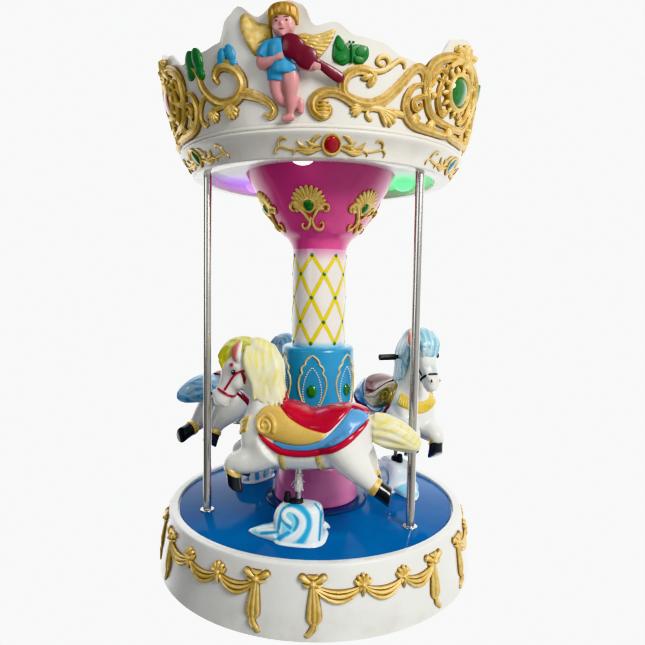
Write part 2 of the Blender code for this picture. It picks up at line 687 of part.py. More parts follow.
def bar_mesh(rock):
    grips = []
    for side in (-1, 1):
        ends = [Vector((BAR_FORWARD, side * y, BAR_Z)) for y in (GRIP_INNER, BAR_HALF)]
        grips.append(tube(ends, GRIP_R, 10, Vector((0, 0, 1))))
    shapes = [moved(shape, rock) for shape in (cross_bar(BAR_CORE_R, BAR_HALF - BAR_END), *grips)]
    return fuse("handlebar", shapes, (), "MANIFOLD")


def build_lifts(white, steel, rubber, paper):
    rod = to_mesh("rod", disc(ROD_R, ROD_FOOT_Z, ROD_TOP_Z, POLE_STEPS))
    wrap = [(ROD_R + SEAT * 2, WRAP_LOW), (WRAP_R, WRAP_LOW + 0.004), (WRAP_R * 0.92, 0.500),
            (WRAP_R, WRAP_TOP - 0.004), (ROD_R + SEAT * 2, WRAP_TOP)]
    for i in range(COPIES):
        number = i + 1
        angle = HORSE_DEG + PITCH_DEG * i
        carrier = axis_empty(f"lift_{number}", polar(angle, HORSE_PLACE_R), angle - 90)
        rock = rocked(ROCK_DEG[i])
        place(f"horse_{number}", horse_mesh(f"horse_{number}", rock, i > 0), white, carrier)
        place(f"rod_{number}", rod, steel, carrier)
        if i == 0:
            place("rod_wrap_1", to_mesh("rod_wrap_1", revolve(wrap, POLE_STEPS)), paper, carrier)
        else:
            place(f"handlebar_{number}", bar_mesh(rock), rubber, carrier)


def main():
    clear_scene()
    white = material("white_gloss", (0.80, 0.79, 0.74), 0.25)
    gold = material("gold_paint", (0.62, 0.42, 0.12), 0.30, 0.6)
    blue = material("floor_blue", (0.005, 0.13, 0.42), 0.15)
    dark = material("dark_navy", (0.02, 0.03, 0.09), 0.15)
    pink = material("pink_gloss", (0.55, 0.10, 0.28), 0.15)
    drum_blue = material("drum_blue", (0.04, 0.28, 0.60), 0.20)
    magenta = material("magenta_gloss", (0.50, 0.03, 0.20), 0.15)
    steel = material("polished_steel", (0.62, 0.62, 0.60), 0.20, 1.0)
    skin = material("cherub_pink", (0.78, 0.45, 0.42), 0.35)
    lamp = material("lamp_white", (0.95, 0.95, 0.95), 0.30)
    wave_blue = material("wave_blue", (0.40, 0.72, 0.85), 0.25)
    rubber = material("black_rubber", (0.02, 0.02, 0.02), 0.60)
    paper = material("white_wrap", (0.85, 0.85, 0.83), 0.80)

    build_base(white, steel, gold)
    turntable = axis_empty("turntable_axis")
    build_floor(turntable, blue, dark)
    build_column(turntable, pink, drum_blue, white, magenta)
    build_poles(turntable, steel)
    build_ceiling(turntable, white, lamp)
    build_crown_walls(turntable, white)
    build_crests(turntable, skin, gold)
    build_waves(turntable, wave_blue, rubber)
    build_lifts(white, steel, rubber, paper)


main()
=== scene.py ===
"""The looks of a small fairground carousel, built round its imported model.

Metres, +Z up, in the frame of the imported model. Angles are degrees about +Z
from +X, and the front of the carousel faces -Y.
"""

import math

import bmesh
import bpy
import numpy as np
from mathutils import Matrix, Vector
from mathutils.bvhtree import BVHTree


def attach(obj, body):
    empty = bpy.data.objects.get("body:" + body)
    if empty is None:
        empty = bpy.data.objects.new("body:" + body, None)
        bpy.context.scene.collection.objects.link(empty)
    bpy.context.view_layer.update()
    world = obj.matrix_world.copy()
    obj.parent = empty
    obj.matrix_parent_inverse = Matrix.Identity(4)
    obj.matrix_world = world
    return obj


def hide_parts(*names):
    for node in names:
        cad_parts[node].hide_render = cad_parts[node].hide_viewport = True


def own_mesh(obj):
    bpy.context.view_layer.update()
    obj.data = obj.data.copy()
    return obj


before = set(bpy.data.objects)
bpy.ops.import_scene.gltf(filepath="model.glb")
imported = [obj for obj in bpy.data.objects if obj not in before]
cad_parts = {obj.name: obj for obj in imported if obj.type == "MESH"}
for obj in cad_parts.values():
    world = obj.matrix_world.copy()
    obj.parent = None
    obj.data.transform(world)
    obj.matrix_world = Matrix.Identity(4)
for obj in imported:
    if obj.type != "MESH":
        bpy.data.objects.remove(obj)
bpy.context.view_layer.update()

# Layout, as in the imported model
HORSE_DEG = -99.5
POLE_DEG = HORSE_DEG + 60
SIXTH = 60
THIRD = 120

# Base
SKIRT_FOOT_R, SKIRT_TOP_R, SKIRT_HEIGHT = 0.750, 0.706, 0.280
SKIRT_WALL = 0.034
RIM_INNER_R = 0.668
FLOOR_R = 0.661
FLOOR_LOW, FLOOR_TOP = 0.243, 0.268

# Column
HUB_R, HUB_TOP = 0.252, 0.2833
BELL_FOOT_R, BELL_SHOULDER_R, BELL_SHELL_TOP = 0.208, 0.184, 0.462
DRUM_R, DRUM_TOP = 0.175, 1.030
SHAFT_R, SHAFT_TOP = 0.130, 1.490
CEILING_Z = 1.840
FUNNEL = ((0.130, SHAFT_TOP), (0.137, 1.512), (0.155, 1.540), (0.181, 1.560), (0.217, 1.606),
          (0.253, 1.656), (0.289, 1.723), (0.323, 1.778), (0.356, CEILING_Z))

# Crown
CEILING_EDGE_R = 0.530
WALL_FOOT_R, WALL_FOOT_Z, WALL_SLOPE, WALL_THICK = 0.650, 1.915, 0.225, 0.018
WALL_TURN_R = 0.700        # distances along the wall are measured at this radius
CREST = ((-60, 2.295), (-50, 2.255), (-42, 2.190), (-30, 2.200), (-23, 2.212), (-19, 2.285),
         (-15, 2.312), (-9, 2.268), (-4, 2.300), (0, 2.310), (4, 2.295), (7, 2.230), (13, 2.243),
         (19, 2.205), (26, 2.196), (34, 2.160), (42, 2.148), (48, 2.200), (52, 2.270), (60, 2.295))

# Horses, waves and lamps
HORSE_R = 0.445
LAMP_R = 0.450
POLE_PLACE_R, POLE_R = 0.540, 0.019

# The view of the photograph
CAMERA_AT = (0.0, -2.7331, 1.3415)
CAMERA_PITCH, CAMERA_YAW, CAMERA_ROLL = 0.0739, 0.0071, 0.0163
CAMERA_FOCAL_PX, PICTURE_PX, SENSOR_MM = 559.68, 645, 36.0
ROOM_LEFT, ROOM_RIGHT, BACKDROP = 0.14, 0.62, 1.60


# Shapes
class Shape:
    """Points, faces, and how raised each point is, from 0 in a hollow to 1 on a ridge; paints turn this into painted
    shade in the hollows and a painted highlight on the ridges.
    """

    def __init__(self, points, faces, ridge=None):
        self.points = np.array(points, float)
        self.faces = faces
        self.ridge = np.ones(len(self.points)) if ridge is None else np.array(ridge, float)

    def moved(self, move):
        return Shape(move(self.points), self.faces, self.ridge)


def merge(shapes):
    faces, start = [], 0
    for shape in shapes:
        faces += [tuple(i + start for i in face) for face in shape.faces]
        start += len(shape.points)
    return Shape(np.vstack([s.points for s in shapes]), faces, np.concatenate([s.ridge for s in shapes]))


def polar(angle_deg, radius, z=0.0):
    angle = np.radians(angle_deg)
    return np.stack(np.broadcast_arrays(radius * np.cos(angle), radius * np.sin(angle), z), -1)


def spline(rows, count):
    """Rows of numbers spread along a smooth curve through the given rows."""
    rows = np.array(rows, float)
    ends = np.vstack([2 * rows[0] - rows[1], rows, 2 * rows[-1] - rows[-2]])
    steps = np.linalg.norm(np.diff(rows[:, :3], axis=0), axis=1) + 1e-9
    marks = np.concatenate([[0], np.cumsum(steps)])
    places = np.linspace(0, marks[-1], count)
    index = np.clip(np.searchsorted(marks, places, side="right") - 1, 0, len(rows) - 2)
    t = ((places - marks[index]) / steps[index])[:, None]
    a, b, c, d = (ends[index + k] for k in range(4))
    return 0.5 * (2 * b + (c - a) * t + (2 * a - 5 * b + 4 * c - d) * t ** 2
                  + (3 * b - a - 3 * c + d) * t ** 3)


def grid_faces(rows, columns, wrap_rows=False, wrap_columns=True):
    faces = []
    for i in range(rows if wrap_rows else rows - 1):
        for j in range(columns if wrap_columns else columns - 1):
            k, n = (j + 1) % columns, (i + 1) % rows
            faces.append((i * columns + j, i * columns + k, n * columns + k, n * columns + j))
    return faces


def loft(rings, ridge=None):
    """Skin rings of equal counts and close both ends with fans."""
    rings = np.array(rings, float)
    count, sides = rings.shape[:2]
    points = np.vstack([rings.reshape(-1, 3), rings[0].mean(0), rings[-1].mean(0)])
    faces = grid_faces(count, sides)
    low, high = count * sides, count * sides + 1
    for j in range(sides):
        k = (j + 1) % sides
        faces.append((k, j, low))
        faces.append(((count - 1) * sides + j, (count - 1) * sides + k, high))
    if ridge is not None:
        ridge = np.concatenate([np.array(ridge).reshape(-1), [ridge[0].mean(), ridge[-1].mean()]])
    return Shape(points, faces, ridge)


def lathe(profile, steps=96, phase_deg=0.0):
    """Turn a closed (radius, z) outline about Z; radius 0 makes a solid core."""
    points, rows = [], []
    turns = phase_deg + np.arange(steps) * 360 / steps
    for radius, z in profile:
        start = sum(len(p) for p in points)
        if radius == 0:
            rows.append([start] * steps)
            points.append(np.array([[0, 0, z]]))
        else:
            rows.append(list(range(start, start + steps)))
            points.append(polar(turns, radius, z))
    faces = []
    for i, row in enumerate(rows):
        other = rows[(i + 1) % len(rows)]
        for j in range(steps):
            k = (j + 1) % steps
            corners = list(dict.fromkeys((row[j], row[k], other[k], other[j])))
            if len(corners) > 2:
                faces.append(tuple(corners))
    return Shape(np.vstack(points), faces)


def unit(v):
    v = np.array(v, float)
    return v / (np.linalg.norm(v, axis=-1, keepdims=True) + 1e-12)


def bar(rows, sides=12, count=None, up=(0, 0, 1), flat=1.0, rise=None):
    """A smooth bar through rows of x, y, z and radius. It keeps its thin side towards up."""
    path = spline(rows, count or 4 * len(rows))
    places, radii = path[:, :3], np.maximum(path[:, 3], 1e-4)
    along = unit(np.gradient(places, axis=0))
    side = unit(np.cross(along, np.array(up, float)))
    top = np.cross(side, along)
    turns = np.arange(sides) * 2 * math.pi / sides
    rings = (places[:, None] + side[:, None] * (radii[:, None] * np.cos(turns))[..., None]
             + top[:, None] * (radii[:, None] * flat * np.sin(turns))[..., None])
    # given rise, the ridge value runs from 0 underneath to 1 on top, for painted light from above
    ridge = None if rise is None else np.broadcast_to(0.5 + 0.5 * np.sin(turns), rings.shape[:2])
    return loft(rings, ridge)


def ball(centre, size, steps=20, rows=12):
    """An ellipsoid; size is one radius or three."""
    lat = np.linspace(0, math.pi, rows + 1)[1:-1]
    turns = np.arange(steps) * 2 * math.pi / steps
    rings = np.stack(np.broadcast_arrays(np.sin(lat)[:, None] * np.cos(turns),
                                         np.sin(lat)[:, None] * np.sin(turns),
                                         -np.cos(lat)[:, None]), -1)
    shape = loft(rings)
    shape.points[-2:] = ((0, 0, -1), (0, 0, 1))
    shape.points = shape.points * np.array(size, float) + np.array(centre, float)
    return shape


def build_mesh(name, shape):
    mesh = bpy.data.meshes.new(name)
    mesh.from_pydata(shape.points.tolist(), [], shape.faces)
    form = bmesh.new()
    form.from_mesh(mesh)
    bmesh.ops.recalc_face_normals(form, faces=form.faces)
    form.to_mesh(mesh)
    form.free()
    layer = mesh.attributes.new("ridge", "FLOAT", "POINT")
    layer.data.foreach_set("value", shape.ridge.astype(np.float32))
    return mesh


def piece(name, shapes, finish, body, replaces=(), crease_deg=40.0, turn_deg=0.0):
    """One visible object that rides on a body, turned about Z after it is drawn."""
    shape = merge(shapes) if isinstance(shapes, (list, tuple)) else shapes
    mesh = shape if isinstance(shape, bpy.types.Mesh) else build_mesh(name, shape)
    if turn_deg:
        mesh = mesh.copy()
        mesh.transform(Matrix.Rotation(math.radians(turn_deg), 4, "Z"))
    if not mesh.materials or mesh.materials[0] != finish:
        mesh.materials.clear()
        mesh.materials.append(finish)
        mesh.shade_smooth()
        mesh.set_sharp_from_angle(angle=math.radians(crease_deg))
    made = bpy.data.objects.new(name, mesh)
    bpy.context.scene.collection.objects.link(made)
    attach(made, body)
    if replaces:
        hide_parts(*replaces)
    return made


def thrice(name, shapes, finish, node="", crease_deg=40.0):
    """Three equal pieces of the turntable, a third of a turn apart."""
    mesh = build_mesh(name, merge(shapes) if isinstance(shapes, (list, tuple)) else shapes)
    for i in range(3):
        hidden = [f"{node}_{i + 1}"] if node else []
        piece(f"{name}_{i + 1}", mesh, finish, "turntable", hidden, crease_deg, THIRD * i)


# Relief, drawn flat with X to the right, Y out of the surface and Z up
HALF_ROUND = ((-1, 0, 0), (-0.85, 0.50, 0.25), (-0.45, 0.90, 0.80), (0, 1, 1), (0.45, 0.90, 0.80),
              (0.85, 0.50, 0.25), (1, 0, 0))       # across, height, ridge
BEADED = ((-1, 0, 0), (-0.88, 0.56, 0.36), (-0.36, 0.56, 0.30), (-0.16, 0.86, 0.90), (0, 1, 1),
          (0.16, 0.86, 0.90), (0.36, 0.56, 0.30), (0.88, 0.56, 0.36), (1, 0, 0))
SUNK = 0.002               # how far relief reaches into the surface under it


def stroke(rows, height, section=HALF_ROUND, count=None):
    """A raised stroke through rows of x, z and half width."""
    path = spline([(x, 0, z, w) for x, z, w in rows], count or 4 * len(rows))
    place, half = path[:, [0, 2]], np.maximum(path[:, 3], 0.0005)
    along = unit(np.gradient(place, axis=0))
    across, rise, ridge = np.array(section).T
    lift = height * (half / half.max()) ** 0.6
    rings = np.stack([place[:, :1] - along[:, 1:] * half[:, None] * across,
                      lift[:, None] * rise - SUNK * (rise == 0),
                      place[:, 1:] + along[:, :1] * half[:, None] * across], -1)
    return loft(rings, np.broadcast_to(ridge, rings.shape[:2]))


def fan(base, aim_deg, spread_deg, length, count, half, height):
    """Flutes that spread from one point, the middle ones longest."""
    flutes = []
    for share in np.linspace(-1, 1, count):
        turn = math.radians(aim_deg + share * spread_deg / 2)
        reach = length * (1 - 0.22 * share ** 2)
        steps = ((0.0, 0.4), (0.55, 1.0), (0.9, 0.95), (1.0, 0.4))
        flutes.append(stroke([(base[0] + s * reach * math.cos(turn), base[1] + s * reach * math.sin(turn), w * half)
                              for s, w in steps], height))
    return flutes


def plate(outline, height, steps=48):
    """A domed plate inside a smooth closed outline of x and z."""
    rim = spline([(x, 0, z) for x, z in (*outline, outline[0])], steps + 1)[:-1]
    middle = rim.mean(0)
    rings, ridge = [], []
    # each ring's third number is its ridge value: low at the rim for painted shade, high on the dome for painted
    # highlight
    for share, lift, lit_level in ((1.0, -SUNK / height, 0.0), (1.0, 0.25, 0.15), (0.93, 0.70, 0.6), (0.75, 0.95, 0.8), (0.3, 1.0, 0.9)):
        ring = middle + (rim - middle) * share
        ring[:, 1] = height * lift
        rings.append(ring)
        ridge.append(np.full(steps, lit_level))
    return loft(rings, np.array(ridge))


def wrap(radius_of, turn_radius, centre_deg):
    """Bend a flat drawing round the carousel's axis."""
    def bend(p):
        return polar(centre_deg + np.degrees(p[:, 0] / turn_radius), radius_of(p[:, 2]) + p[:, 1], p[:, 2])
    return bend


def mirrored(rows):
    return [(-row[0], *row[1:]) for row in rows]


# Materials
class Paint:
    """A Principled material with a few helpers to wire its nodes."""

    def __init__(self, name, roughness=0.3, metallic=0.0, coat=0.0):
        self.material = bpy.data.materials.new(name)
        self.material.use_nodes = True
        self.tree = self.material.node_tree
        self.shader = self.tree.nodes["Principled BSDF"]
        self.shader.inputs["Roughness"].default_value = roughness
        self.shader.inputs["Metallic"].default_value = metallic
        self.shader.inputs["Coat Weight"].default_value = coat
        self.shader.inputs["Coat Roughness"].default_value = 0.06
        self.place = self.node("ShaderNodeTexCoord").outputs["Object"]

    def node(self, kind, **values):
        made = self.tree.nodes.new(kind)
        for key, value in values.items():
            setattr(made, key, value)
        return made

    def link(self, source, target):
        self.tree.links.new(source, target)

    def noise(self, scale, detail=3.0, rough=0.55, place=None):
        made = self.node("ShaderNodeTexNoise")
        made.inputs["Scale"].default_value = scale
        made.inputs["Detail"].default_value = detail
        made.inputs["Roughness"].default_value = rough
        self.link(place or self.place, made.inputs["Vector"])
        return made.outputs["Fac"]

    def span(self, value, low, high, out_low=0.0, out_high=1.0):
        made = self.node("ShaderNodeMapRange", interpolation_type="SMOOTHSTEP")
        for name, number in (("From Min", low), ("From Max", high), ("To Min", out_low), ("To Max", out_high)):
            made.inputs[name].default_value = number
        self.link(value, made.inputs["Value"])
        return made.outputs["Result"]

    def mix(self, share, first, second):
        made = self.node("ShaderNodeMix", data_type="RGBA")
        for value, target in ((share, made.inputs["Factor"]), (first, made.inputs["A"]), (second, made.inputs["B"])):
            if isinstance(value, tuple):
                target.default_value = (*value, 1.0)
            elif isinstance(value, (int, float)):
                target.default_value = value
            else:
                self.link(value, target)
        return made.outputs["Result"]

    def math(self, operation, first, second=0.0):
        made = self.node("ShaderNodeMath", operation=operation)
        for value, target in zip((first, second), made.inputs):
            if isinstance(value, (int, float)):
                target.default_value = value
            else:
                self.link(value, target)
        return made.outputs["Value"]

    def attribute(self, name, colour=False):
        made = self.node("ShaderNodeAttribute", attribute_name=name)
        return made.outputs["Color" if colour else "Fac"]

    def colour(self, value):
        target = self.shader.inputs["Base Color"]
        if isinstance(value, tuple):
            target.default_value = (*value, 1.0)
        else:
            self.link(value, target)
        return self

    def roughness(self, value):
        self.link(value, self.shader.inputs["Roughness"])
        return self

    def bump(self, height, strength, distance=0.001):
        made = self.node("ShaderNodeBump")
        made.inputs["Strength"].default_value = strength
        made.inputs["Distance"].default_value = distance
        self.link(height, made.inputs["Height"])
        self.link(made.outputs["Normal"], self.shader.inputs["Normal"])
        return self


def gloss(name, colour, deep=None, roughness=0.22, coat=0.6, wave=0.25):
    """Glossy painted fibreglass: faint clouding, worn gloss and a slightly uneven skin."""
    paint = Paint(name, roughness, coat=coat)
    deep = deep or tuple(0.86 * c for c in colour)
    cloud = paint.span(paint.noise(3.5, 4), 0.35, 0.70)
    paint.colour(paint.mix(cloud, deep, colour))
    paint.roughness(paint.span(paint.noise(22, 5), 0.3, 0.7, roughness * 0.75, roughness * 1.35))
    return paint.bump(paint.noise(16, 2), wave, 0.0012)


def gold_paint():
    """Metallic gold paint, with painted shade in the recesses and a painted highlight on the ridges."""
    paint = Paint("gold_paint", 0.34, 0.50, coat=0.15)
    # painted shade: dark brown where the ridge value is low; painted highlight: bright gold on the ridges
    raised = paint.span(paint.attribute("ridge"), 0.02, 0.62)
    patchy = paint.span(paint.noise(38, 4), 0.30, 0.72)
    bright = paint.mix(patchy, (0.78, 0.53, 0.15), (0.96, 0.74, 0.30))
    paint.colour(paint.mix(raised, (0.20, 0.085, 0.016), bright))
    paint.roughness(paint.span(paint.noise(60, 4), 0.3, 0.7, 0.24, 0.46))
    return paint.bump(paint.noise(90, 3), 0.35, 0.0010).material


def gold_hair():
    """Golden hair, browner in patches."""
    paint = Paint("figure_hair", 0.33, 0.55, coat=0.2)
    patchy = paint.span(paint.noise(26, 4), 0.30, 0.72)
    paint.colour(paint.mix(patchy, (0.34, 0.16, 0.03), (0.74, 0.47, 0.12)))
    return paint.bump(paint.noise(90, 3), 0.35, 0.0010).material


def coat_paint(name, shade, light=1.0):
    """White horse coat with airbrushed grey and painted shade, and a light factor that dims the white, used as painted
    shade on the third horse.
    """
    paint = Paint(name, 0.24, coat=0.6)
    cloud = paint.span(paint.noise(12, 3), 0.3, 0.7, 0.65, 1.0)
    # the mark lays on airbrushed grey and painted shade alike
    weight = paint.math("MULTIPLY", paint.attribute("airbrush_and_shade"), cloud)
    white = paint.mix(paint.span(paint.noise(4, 3), 0.35, 0.7), tuple(light * c for c in (0.84, 0.83, 0.78)),
                      tuple(light * c for c in (0.92, 0.92, 0.88)))
    paint.colour(paint.mix(weight, white, shade))
    paint.roughness(paint.span(paint.noise(20, 5), 0.3, 0.7, 0.18, 0.32))
    return paint.bump(paint.noise(18, 2), 0.22, 0.0012).material


def hair_paint(name, pale, strong, amount=1.0):
    """Airbrushed hair, streaked between two colours."""
    paint = Paint(name, 0.28, coat=0.5)
    patch = paint.span(paint.noise(13, 3), 0.34, 0.60)
    share = paint.math("MULTIPLY", paint.attribute("streak"), paint.math("MULTIPLY", patch, amount))
    paint.colour(paint.mix(share, pale, strong))
    return paint.bump(paint.noise(40, 3), 0.25, 0.0012).material


def gem_paint(name, colour):
    paint = Paint(name, 0.12, coat=1.0)
    paint.colour(paint.mix(paint.span(paint.noise(30, 3), 0.3, 0.7), tuple(0.6 * c for c in colour), colour))
    return paint.bump(paint.noise(26, 2), 0.2, 0.0010).material


def steel_paint():
    """Polished stainless tube with faint lengthwise drawing marks."""
    paint = Paint("polished_steel", 0.16, 1.0)
    stretch = paint.node("ShaderNodeMapping")
    stretch.inputs["Scale"].default_value = (220, 220, 3)
    paint.link(paint.place, stretch.inputs["Vector"])
    marks = paint.noise(1.0, 4, place=stretch.outputs["Vector"])
    paint.colour(paint.mix(marks, (0.60, 0.58, 0.54), (0.80, 0.78, 0.74)))
    paint.roughness(paint.span(marks, 0.3, 0.7, 0.12, 0.26))
    return paint.bump(marks, 0.12, 0.0003).material


def striped_paint(name, attribute, *stops):
    """Gloss paint that runs through colours at given levels of a mark on the mesh."""
    paint = Paint(name, 0.20, coat=0.5)
    mark = paint.attribute(attribute)
    (before, result), *rest = stops
    for level, colour in rest:
        edge = 0.2 * (level - before)
        result = paint.mix(paint.span(mark, before + edge, level - edge), result, colour)
        before = level
    paint.colour(result)
    paint.roughness(paint.span(paint.noise(20, 4), 0.3, 0.7, 0.14, 0.28))
    return paint.bump(paint.noise(18, 2), 0.2, 0.0012).material


def glowing(name, colour, strength):
    paint = Paint(name, 0.4)
    paint.colour(colour)
    paint.shader.inputs["Emission Color"].default_value = (*colour, 1)
    paint.shader.inputs["Emission Strength"].default_value = strength
    return paint.material


def shaft_paint():
    """White tube, pink under the funnel, and pale blue over the drum as a painted reflection of the drum."""
    paint = Paint("shaft_white", 0.22, coat=0.5)
    height = paint.node("ShaderNodeSeparateXYZ")
    paint.link(paint.place, height.inputs["Vector"])
    cloud = paint.mix(paint.span(paint.noise(5, 3), 0.35, 0.7), (0.78, 0.73, 0.68), (0.86, 0.82, 0.78))
    pink = paint.mix(paint.span(height.outputs["Z"], 1.425, 1.490), cloud, (0.72, 0.30, 0.50))
    # painted reflection: pale blue at the foot, over the blue drum
    paint.colour(paint.mix(paint.span(height.outputs["Z"], 1.034, 1.060, 1.0, 0.0), pink, (0.30, 0.62, 0.75)))
    return paint.bump(paint.noise(16, 2), 0.2, 0.0012).material


def ceiling_paint(glows):
    """White ceiling painted grey as shade, with painted glows of coloured light, also emitted, round two of its lamps.
    """
    paint = Paint("ceiling_white", 0.35, coat=0.3)
    # painted shade: the white ceiling is given a grey colour
    result = paint.mix(paint.span(paint.noise(3, 3), 0.35, 0.7), (0.52, 0.52, 0.52), (0.60, 0.60, 0.59))
    paint.shader.inputs["Emission Strength"].default_value = 1.0
    light = None
    # each glow is a painted pool of coloured light, also given off as emission
    for centre, colour in glows:
        gap = paint.node("ShaderNodeVectorMath", operation="DISTANCE")
        gap.inputs[1].default_value = centre
        paint.link(paint.place, gap.inputs[0])
        near = paint.span(gap.outputs["Value"], 0.06, 0.38, 1.0, 0.0)
        light = paint.mix(near, (0.0, 0.0, 0.0) if light is None else light, colour)
        result = paint.mix(near, result, colour)
    paint.colour(result)
    paint.link(light, paint.shader.inputs["Emission Color"])
    return paint.material


def white_paint(name, colour, tint_low, tint_high):
    """White fibreglass that greys and yellows faintly towards its foot."""
    paint = Paint(name, 0.26, coat=0.5)
    height = paint.node("ShaderNodeSeparateXYZ")
    paint.link(paint.place, height.inputs["Vector"])
    low = paint.span(height.outputs["Z"], tint_low, tint_high, 1.0, 0.0)
    patch = paint.span(paint.noise(9, 5, 0.62), 0.42, 0.75)
    # greyer and yellower towards the foot, in patches
    foot_tint = paint.math("MULTIPLY", low, patch)
    cloud = paint.mix(paint.span(paint.noise(3, 3), 0.35, 0.7), tuple(0.93 * c for c in colour), colour)
    paint.colour(paint.mix(paint.math("MULTIPLY", foot_tint, 0.35), cloud, (0.52, 0.47, 0.38)))
    paint.roughness(paint.span(paint.noise(18, 5), 0.3, 0.7, 0.20, 0.36))
    return paint.bump(paint.noise(14, 2), 0.22, 0.0012).material


# Base and turning floor
def skirt_radius(z):
    return SKIRT_FOOT_R + (SKIRT_TOP_R - SKIRT_FOOT_R) * z / SKIRT_HEIGHT


def rounded(centre, radius, from_deg, to_deg, steps=6):
    """Points of an arc in the (radius, z) plane."""
    turns = np.radians(np.linspace(from_deg, to_deg, steps))
    return [(centre[0] + radius * math.cos(t), centre[1] + radius * math.sin(t)) for t in turns]


def build_base(white, steel):
    lip, bead = 0.011, 0.006
    profile = [(SKIRT_FOOT_R - 0.003, 0.0), (SKIRT_FOOT_R, 0.003)]
    profile += [(skirt_radius(z), z) for z in np.linspace(0.02, SKIRT_HEIGHT - 0.022, 10)]
    profile += rounded((SKIRT_TOP_R - lip + 0.001, SKIRT_HEIGHT - lip), lip, 8, 90)
    profile += rounded((RIM_INNER_R + bead, SKIRT_HEIGHT - bead), bead, 90, 180)
    profile += [(RIM_INNER_R, SKIRT_HEIGHT * 0.7), (SKIRT_FOOT_R - SKIRT_WALL, 0.0)]
    piece("skirt_shell", lathe(profile, 192), white, "base", ["skirt"], 50)
    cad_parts["chassis"].data.materials.clear()
    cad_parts["chassis"].data.materials.append(steel)


def build_floor(blue, navy):
    top = [(0, FLOOR_LOW), (FLOOR_R, FLOOR_LOW), (FLOOR_R, FLOOR_TOP - 0.003)]
    top += rounded((FLOOR_R - 0.003, FLOOR_TOP - 0.003), 0.003, 0, 90, 4) + [(0, FLOOR_TOP)]
    piece("floor_plate", lathe(top, 192), blue, "turntable", ["floor_disc"])
    hub = [(0, FLOOR_TOP), (HUB_R, FLOOR_TOP), (HUB_R, HUB_TOP - 0.006)]
    hub += rounded((HUB_R - 0.006, HUB_TOP - 0.006), 0.006, 0, 90, 5) + [(0, HUB_TOP)]
    piece("hub_plate", lathe(hub, 128), navy, "turntable", ["hub_disc"])


# Column
def bell_profile():
    foot = HUB_TOP + 0.0003
    profile = [(0, foot), (BELL_FOOT_R - 0.008, foot)] + rounded((BELL_FOOT_R - 0.010, foot + 0.010), 0.010, -80, 10, 5)
    flare = spline([(BELL_FOOT_R, 0, foot + 0.014), (0.2035, 0, 0.345), (0.1945, 0, 0.400), (BELL_SHOULDER_R, 0, BELL_SHELL_TOP - 0.006)], 14)
    return profile + [(p[0], p[2]) for p in flare] + [(BELL_SHOULDER_R - 0.004, BELL_SHELL_TOP), (0, BELL_SHELL_TOP)]


def build_column(pink, blue, white, magenta):
    piece("bell_shell", lathe(bell_profile(), 96), pink, "turntable", ["bell"])
    low = BELL_SHELL_TOP + 0.0003
    drum = [(0, low), (DRUM_R - 0.004, low), (DRUM_R, low + 0.004), (DRUM_R, DRUM_TOP - 0.020)]
    drum += rounded((DRUM_R - 0.020, DRUM_TOP - 0.020), 0.020, 10, 90, 8) + [(0, DRUM_TOP)]
    piece("drum_shell", lathe(drum, 96), blue, "turntable", ["drum"])
    shaft = [(0, DRUM_TOP + 0.0003), (SHAFT_R, DRUM_TOP + 0.0003), (SHAFT_R, SHAFT_TOP), (0, SHAFT_TOP)]
    piece("shaft_tube", lathe(shaft, 96), white, "turntable", ["shaft"])
    flare = spline([(r, 0, z) for r, z in FUNNEL], 28)
    funnel = [(0, SHAFT_TOP + 0.0003)] + [(p[0], max(p[2], SHAFT_TOP + 0.0003)) for p in flare] + [(0, CEILING_Z - 0.0003)]
    piece("funnel_shell", lathe(funnel, 96), magenta, "turntable", ["funnel"])


def build_poles(steel):
    foot = FLOOR_TOP + 0.0003
    profile = [(0, foot), (0.032, foot), (0.032, foot + 0.003)] + rounded((0.029, foot + 0.003), 0.003, 0, 90, 4)
    profile += rounded((POLE_R + 0.004, foot + 0.010), 0.004, 270, 180, 4)
    profile += [(POLE_R, CEILING_Z - 0.0006), (0, CEILING_Z - 0.0006)]
    for i in range(3):
        shift = polar(POLE_DEG + THIRD * i, POLE_PLACE_R)
        piece(f"pole_tube_{i + 1}", lathe(profile, 40).moved(lambda p: p + shift), steel,
              "turntable", [f"pole_{i + 1}"])


# Crown
def wall_radius(z):
    return WALL_FOOT_R + WALL_SLOPE * (z - WALL_FOOT_Z)


def crest_height(angle_deg):
    offset = (np.asarray(angle_deg) - HORSE_DEG + 60) % THIRD - 60
    marks = np.array(CREST)
    index = np.clip(np.searchsorted(marks[:, 0], offset, side="right") - 1, 0, len(CREST) - 2)
    share = (offset - marks[index, 0]) / (marks[index + 1, 0] - marks[index, 0])
    rise = marks[index + 1, 1] - marks[index, 1]
    return marks[index, 1] + rise * (3 - 2 * share) * share ** 2


